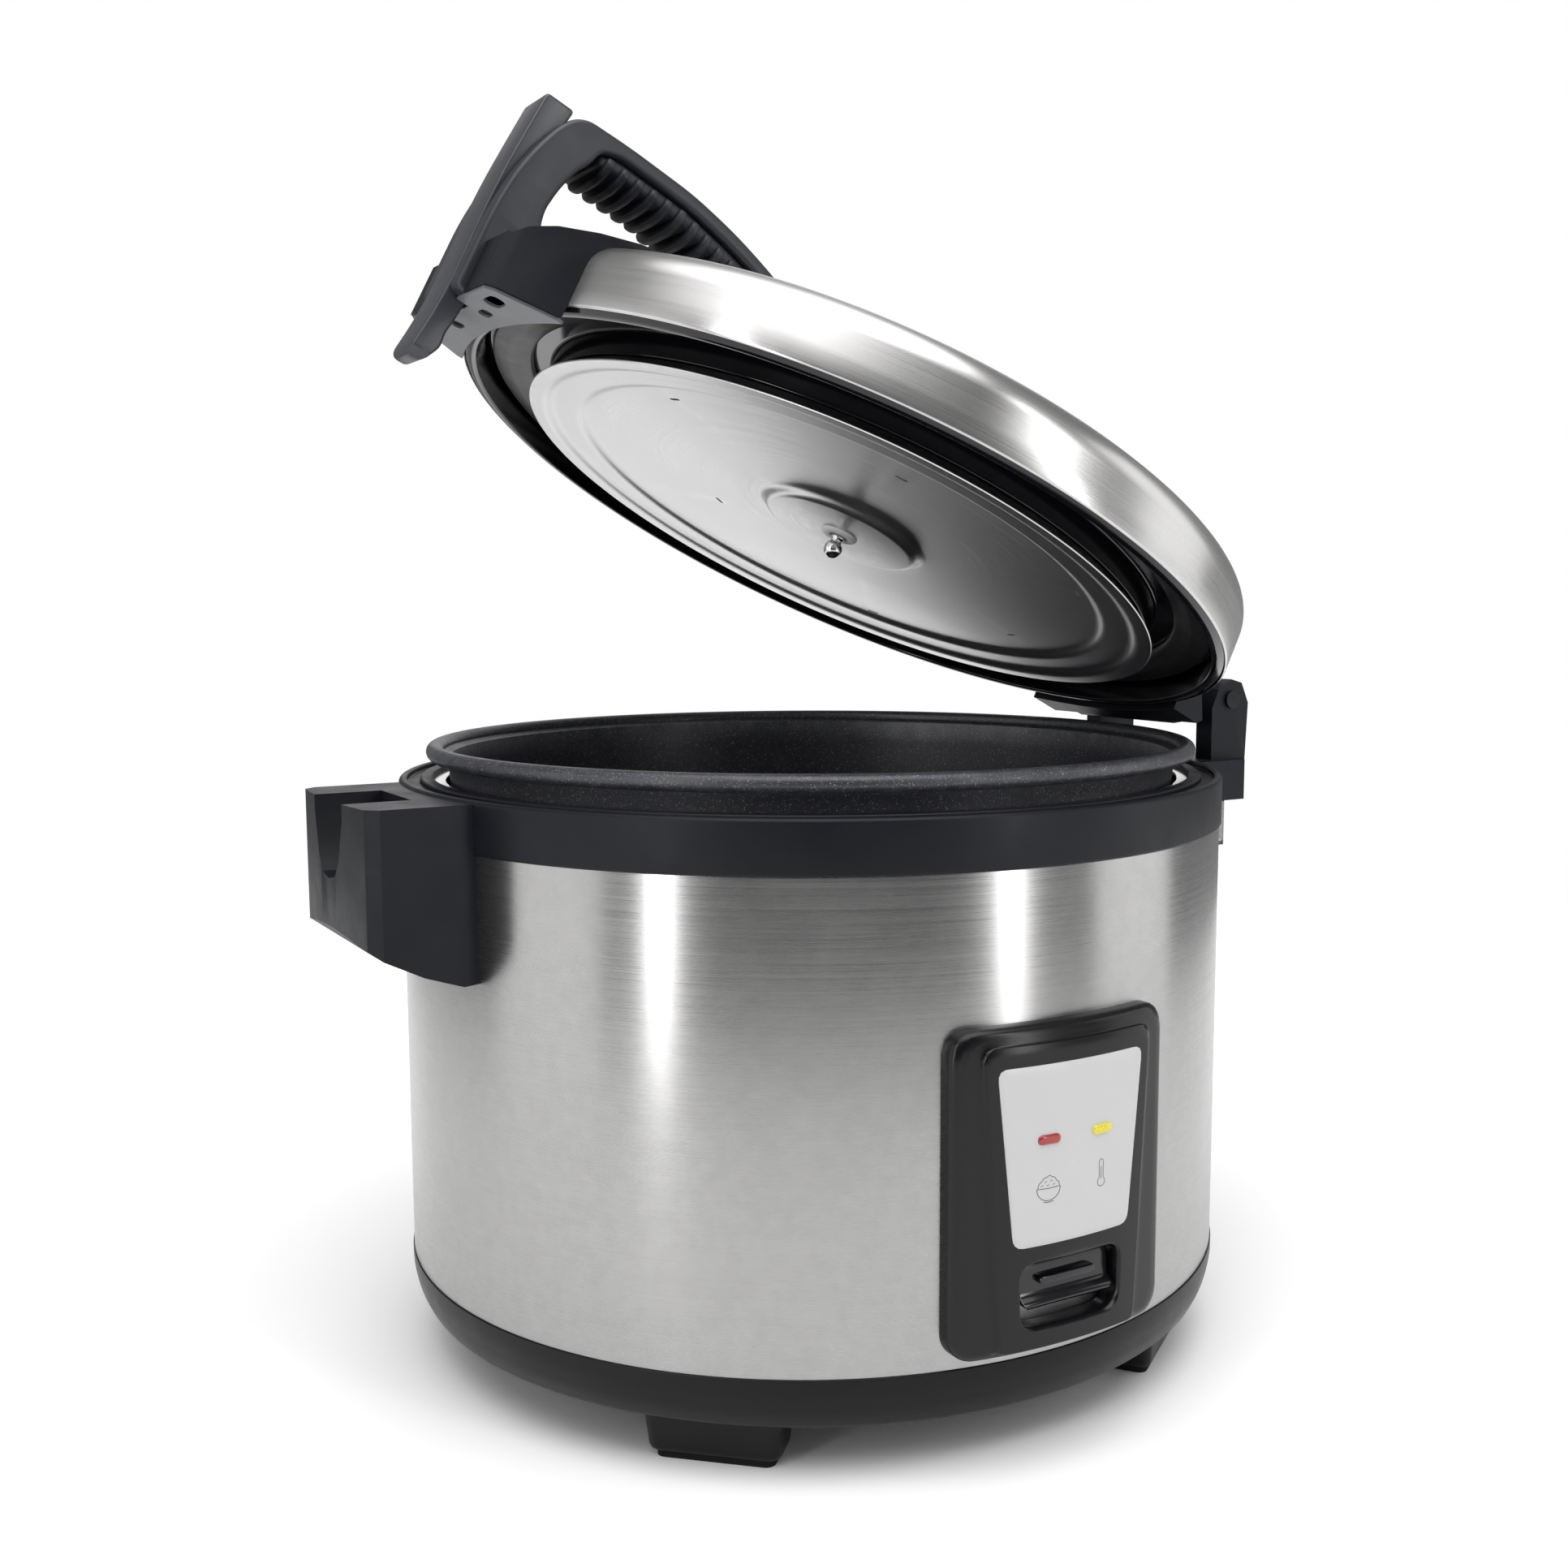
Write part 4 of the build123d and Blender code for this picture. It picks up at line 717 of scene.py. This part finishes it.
levels = [(outer_ring, 0.05), (outer_ring, 4.6), (pulled(outer_ring, 0.25), 5.6),
          (pulled(outer_ring, 0.9), 6.6), (pulled(outer_ring, 1.9), 7.3), (pulled(outer_ring, 3.0), 7.6)]
rim = pulled(outer_ring, 3.0)
for t, h in ((0.25, 7.7), (0.5, 7.8), (0.75, 7.95), (0.9, 8.1)):
    levels.append((between(rim, field_ring, t), h))
levels += [(between(rim, field_ring, 0.975), 8.4), (field_ring, 9.2),
           (between(field_ring, recess_ring, 0.015), 9.5), (between(field_ring, recess_ring, 0.04), 9.6)]
levels += [(between(field_ring, recess_ring, k / 16), 9.6) for k in range(1, 16)]
levels += [(between(field_ring, recess_ring, 0.975), 9.55), (recess_ring, 9.1)]
for d, h in ((0.5, 8.4), (0.8, 7.4), (0.9, 4.0), (0.9, 0.6)):
    levels.append(([(x * (1 - d / 26), RECESS_MID + (z - RECESS_MID) * (1 - d / 14))
                    for x, z in recess_ring], h))
bm = bmesh.new()
grid(bm, [[on_panel(x, z, h) for x, z in ring] for ring, h in levels])
bezel = piece("panel_bezel", bm, "gloss_black", "base", "control_bezel", crease=60)
refinish(bezel, "bezel_plastic")

def shrunk(ring, k):
    """The ring scaled towards the label's middle."""
    return [(x * k, LABEL_MID + (z - LABEL_MID) * k) for x, z in ring]


LABEL = soften([(-35.5, 164.4), (35.5, 164.4), (28.2, 93.2), (-28.2, 93.2)], 4.5, 8)
label_ring = ray_ring(0, LABEL_MID, LABEL, 160)
levels = [(label_ring, 9.55), (label_ring, 9.95), (shrunk(label_ring, 0.994), 10.1)]
levels += [(shrunk(label_ring, k / 12), 10.1) for k in range(11, 0, -1)]
bm = bmesh.new()
rows = grid(bm, [[on_panel(x, z, h) for x, z in ring] for ring, h in levels])
cap(bm, rows[-1])
piece("panel_label", bm, "label_silver", "base", "label_plate", crease=60)

for name, node, x0, slot in (("lamp_cook", "cook_lamp_lens", -LAMP_X, "lens_red"),
                             ("lamp_warm", "warm_lamp_lens", LAMP_X, "lens_amber")):
    bm = bmesh.new()
    base = stadium(10.4, 3.8, 12)
    rings = [(1.0, 9.6), (1.0, 10.3), (0.97, 10.6), (0.88, 10.85), (0.7, 11.0), (0.35, 11.08)]
    rows = grid(bm, [[on_panel(x0 + u * k, LAMP_Z + v * k, h) for u, v in base] for k, h in rings])
    cap(bm, rows[-1])
    cap(bm, rows[0])
    piece(name, bm, slot, "base", node, crease=60)


# ------------------------------------------------------------------ printed marks: a bowl and a thermometer
FINISH["ink"] = plastic("label_ink", (0.10, 0.10, 0.105), 0.5, var=0.08, wear=1.2)


def ink_line(name, points, width, closed=False):
    """A flat printed line that lies on the label, through these (x, z) points."""
    bm = bmesh.new()
    n, rows = len(points), []
    for i, p in enumerate(points):
        a = points[i - 1] if i or closed else p
        b = points[(i + 1) % n] if i < n - 1 or closed else p
        d = Vector((b[0] - a[0], b[1] - a[1])).normalized() * width / 2
        rows.append([on_panel(p[0] - d.y, p[1] + d.x, 10.08), on_panel(p[0] - d.y, p[1] + d.x, 10.16),
                     on_panel(p[0] + d.y, p[1] - d.x, 10.16), on_panel(p[0] + d.y, p[1] - d.x, 10.08)])
    made = grid(bm, rows, loop=closed)
    if not closed:
        cap(bm, made[0])
        cap(bm, made[-1])
    refinish(piece(name, bm, "gloss_black", "base"), "ink")


def arc(cx, cz, rx, rz, a0, a1, n=20):
    return [(cx + rx * math.cos(math.radians(a0 + (a1 - a0) * k / n)),
             cz + rz * math.sin(math.radians(a0 + (a1 - a0) * k / n))) for k in range(n + 1)]


BX, BZ = -LAMP_X, 115.6
ink_line("mark_bowl", arc(BX, BZ, 5.4, 4.9, 178, 362), 0.3)
ink_line("mark_bowl_brim", [(BX - 5.4, BZ + 0.2), (BX, BZ - 0.1), (BX + 5.4, BZ + 0.2)], 0.3)
ink_line("mark_bowl_foot", [(BX - 2.3, BZ - 5.3), (BX, BZ - 5.6), (BX + 2.3, BZ - 5.3)], 0.3)
heap = [(BX - 5.0, BZ + 0.5), (BX - 4.4, BZ + 2.4), (BX - 3.2, BZ + 2.9), (BX - 2.2, BZ + 4.3),
        (BX - 0.8, BZ + 4.4), (BX + 0.3, BZ + 5.2), (BX + 1.6, BZ + 4.3), (BX + 3.0, BZ + 3.9),
        (BX + 3.6, BZ + 2.5), (BX + 4.7, BZ + 2.1), (BX + 5.0, BZ + 0.5)]
ink_line("mark_heap", soften(heap, 0.6, 3, closed=False), 0.28)
for i, (dx, dz) in enumerate(((-3.1, 1.3), (-1.5, 2.6), (-0.4, 1.2), (1.2, 2.8), (2.4, 1.3))):
    ink_line(f"mark_grain_{i + 1}", [(BX + dx - 0.5, BZ + dz - 0.15), (BX + dx + 0.5, BZ + dz + 0.2)], 0.25)
TX, TZ = LAMP_X, 113.6
tube = arc(TX, TZ + 8.0, 1.05, 1.05, 0, 180, 8) + arc(TX, TZ, 1.9, 1.9, 124, 416, 22)
ink_line("mark_thermometer", tube, 0.28, closed=True)
ink_line("mark_column", [(TX, TZ + 6.0), (TX, TZ + 1.0)], 0.3)

# ------------------------------------------------------------------ cook lever paddle
bm = bmesh.new()
section = soften([(-184, 84), (-192.5, 84), (-193.0, 80), (-193.2, 75), (-193.6, 71.5), (-196.2, 69.6),
                  (-196.8, 68.2), (-195.8, 66.6), (-184, 66)], 1.2, 4)
prism(bm, section, -22.4, 22.4, 1.0, lambda u, v, w: (w, u, v), steps=4)
window = bmesh.new()
prism(window, rounded_box(44.8, 30, 6, 8, 0, 81), -210, -180, CUT_EDGE, side_on, steps=1)
piece("paddle", carve(bm, [window], "INTERSECT"), "gloss_black", "cook_lever", "cook_lever")

bm = bmesh.new()                     # raised bar across the paddle, where a finger presses
bar = [[(u * k, -y, BAR_Z + v * k) for u, v in stadium(28, 3, 10)] for k, y in
       ((1.0, 190.5), (1.0, 195.4), (0.97, 196.0), (0.88, 196.3))]
rows = grid(bm, bar)
cap(bm, rows[-1])
cap(bm, rows[0])
piece("paddle_bar", bm, "gloss_black", "cook_lever")

# ------------------------------------------------------------------ finishes for every CAD node that stays
for node in NODES:
    dress(node, FINISH[SLOT_OF[node]])
dress("hinge_pin", FINISH["blackened_pin"])

# ------------------------------------------------------------------ stage
def ground():
    t = Tree("pale_floor")
    t.put(t.bsdf.inputs["Base Color"],
          t.mix(t.noise(3, 3), (0.945, 0.945, 0.945, 1), (0.965, 0.965, 0.965, 1)))
    t.put(t.bsdf.inputs["Roughness"], t.span(t.noise(8, 3), 0.3, 0.7, 0.55, 0.7))
    t.bsdf.inputs["Specular IOR Level"].default_value = 0.2
    bm = bmesh.new()
    bmesh.ops.create_circle(bm, cap_ends=True, segments=96, radius=1.35)
    mesh = bpy.data.meshes.new("floor")
    bm.to_mesh(mesh)
    bm.free()
    mesh.materials.append(t.mat)
    o = bpy.data.objects.new("floor", mesh)
    bpy.context.scene.collection.objects.link(o)


ground()

CAMERA_AT = Vector((-0.4136, -0.7022, 0.3428))
CAMERA_TURN = (math.radians(90 - 6.455), 0.0, math.radians(-31.87))
cam = bpy.data.cameras.new("camera")
cam.lens, cam.sensor_width = 39.43, 36.0
cam.shift_x, cam.shift_y = -0.0445, 0.0021
cam.clip_start, cam.clip_end = 0.02, 60.0
camera = bpy.data.objects.new("camera", cam)
camera.location, camera.rotation_euler = CAMERA_AT, CAMERA_TURN
bpy.context.scene.collection.objects.link(camera)
bpy.context.scene.camera = camera

VIEW_AZ = -30.5                      # the photograph's side of the object


def panel_light(name, azimuth, distance, height, width, tall, power, aim=0.2, colour=(1, 1, 1)):
    """A soft light panel that stands at this azimuth from the photograph's direction and faces the object."""
    a = math.radians(VIEW_AZ + azimuth)
    data = bpy.data.lights.new(name, "AREA")
    data.shape, data.size, data.size_y, data.energy, data.color = "RECTANGLE", width, tall, power, colour
    o = bpy.data.objects.new(name, data)
    o.location = (math.sin(a) * distance, -math.cos(a) * distance, height)
    o.rotation_euler = (Vector((0, 0, aim)) - o.location).to_track_quat("-Z", "Y").to_euler()
    o.visible_camera = False
    bpy.context.scene.collection.objects.link(o)
    return o


panel_light("strip_left", -38.6, 2.6, 0.55, 0.24, 2.8, 20)
panel_light("wall_left", -72, 3.0, 0.8, 1.9, 2.4, 16)
panel_light("strip_right", 51, 2.6, 0.55, 0.24, 2.8, 20)
panel_light("wall_right", 93, 3.0, 0.8, 1.7, 2.4, 16)
panel_light("overhead", 20, 0.9, 2.6, 2.4, 2.4, 26, aim=0.0)
panel_light("back", 180, 2.6, 1.2, 2.4, 1.8, 10)
sun = bpy.data.lights.new("sky", "SUN")
sun.energy, sun.angle = 2.05, math.radians(70)
o = bpy.data.objects.new("sky", sun)
o.rotation_euler = (math.radians(12), math.radians(-8), 0)
bpy.context.scene.collection.objects.link(o)

world = bpy.data.worlds.new("studio")
bpy.context.scene.world = world
world.use_nodes = True
w_nodes, w_links = world.node_tree.nodes, world.node_tree.links
dim = w_nodes["Background"]
dim.inputs["Color"].default_value = (1, 1, 1, 1)
way = w_nodes.new("ShaderNodeVectorMath")          # the room is darker on the photographer's side
way.operation = "DOT_PRODUCT"
way.inputs[1].default_value = (math.sin(math.radians(VIEW_AZ + 8)), -math.cos(math.radians(VIEW_AZ + 8)), 0.0)
w_links.new(w_nodes.new("ShaderNodeTexCoord").outputs["Generated"], way.inputs[0])
fall = w_nodes.new("ShaderNodeMapRange")
for key, number in (("From Min", 0.55), ("From Max", 0.9), ("To Min", 0.26), ("To Max", 0.07)):
    fall.inputs[key].default_value = number
w_links.new(way.outputs["Value"], fall.inputs["Value"])
w_links.new(fall.outputs["Result"], dim.inputs["Strength"])
seen = w_nodes.new("ShaderNodeBackground")
seen.inputs["Color"].default_value, seen.inputs["Strength"].default_value = (1, 1, 1, 1), 1.0
path = w_nodes.new("ShaderNodeLightPath")
both = w_nodes.new("ShaderNodeMixShader")
w_links.new(path.outputs["Is Camera Ray"], both.inputs[0])
w_links.new(dim.outputs[0], both.inputs[1])
w_links.new(seen.outputs[0], both.inputs[2])
w_links.new(both.outputs[0], w_nodes["World Output"].inputs["Surface"])
bpy.context.scene.view_settings.view_transform = "Standard"
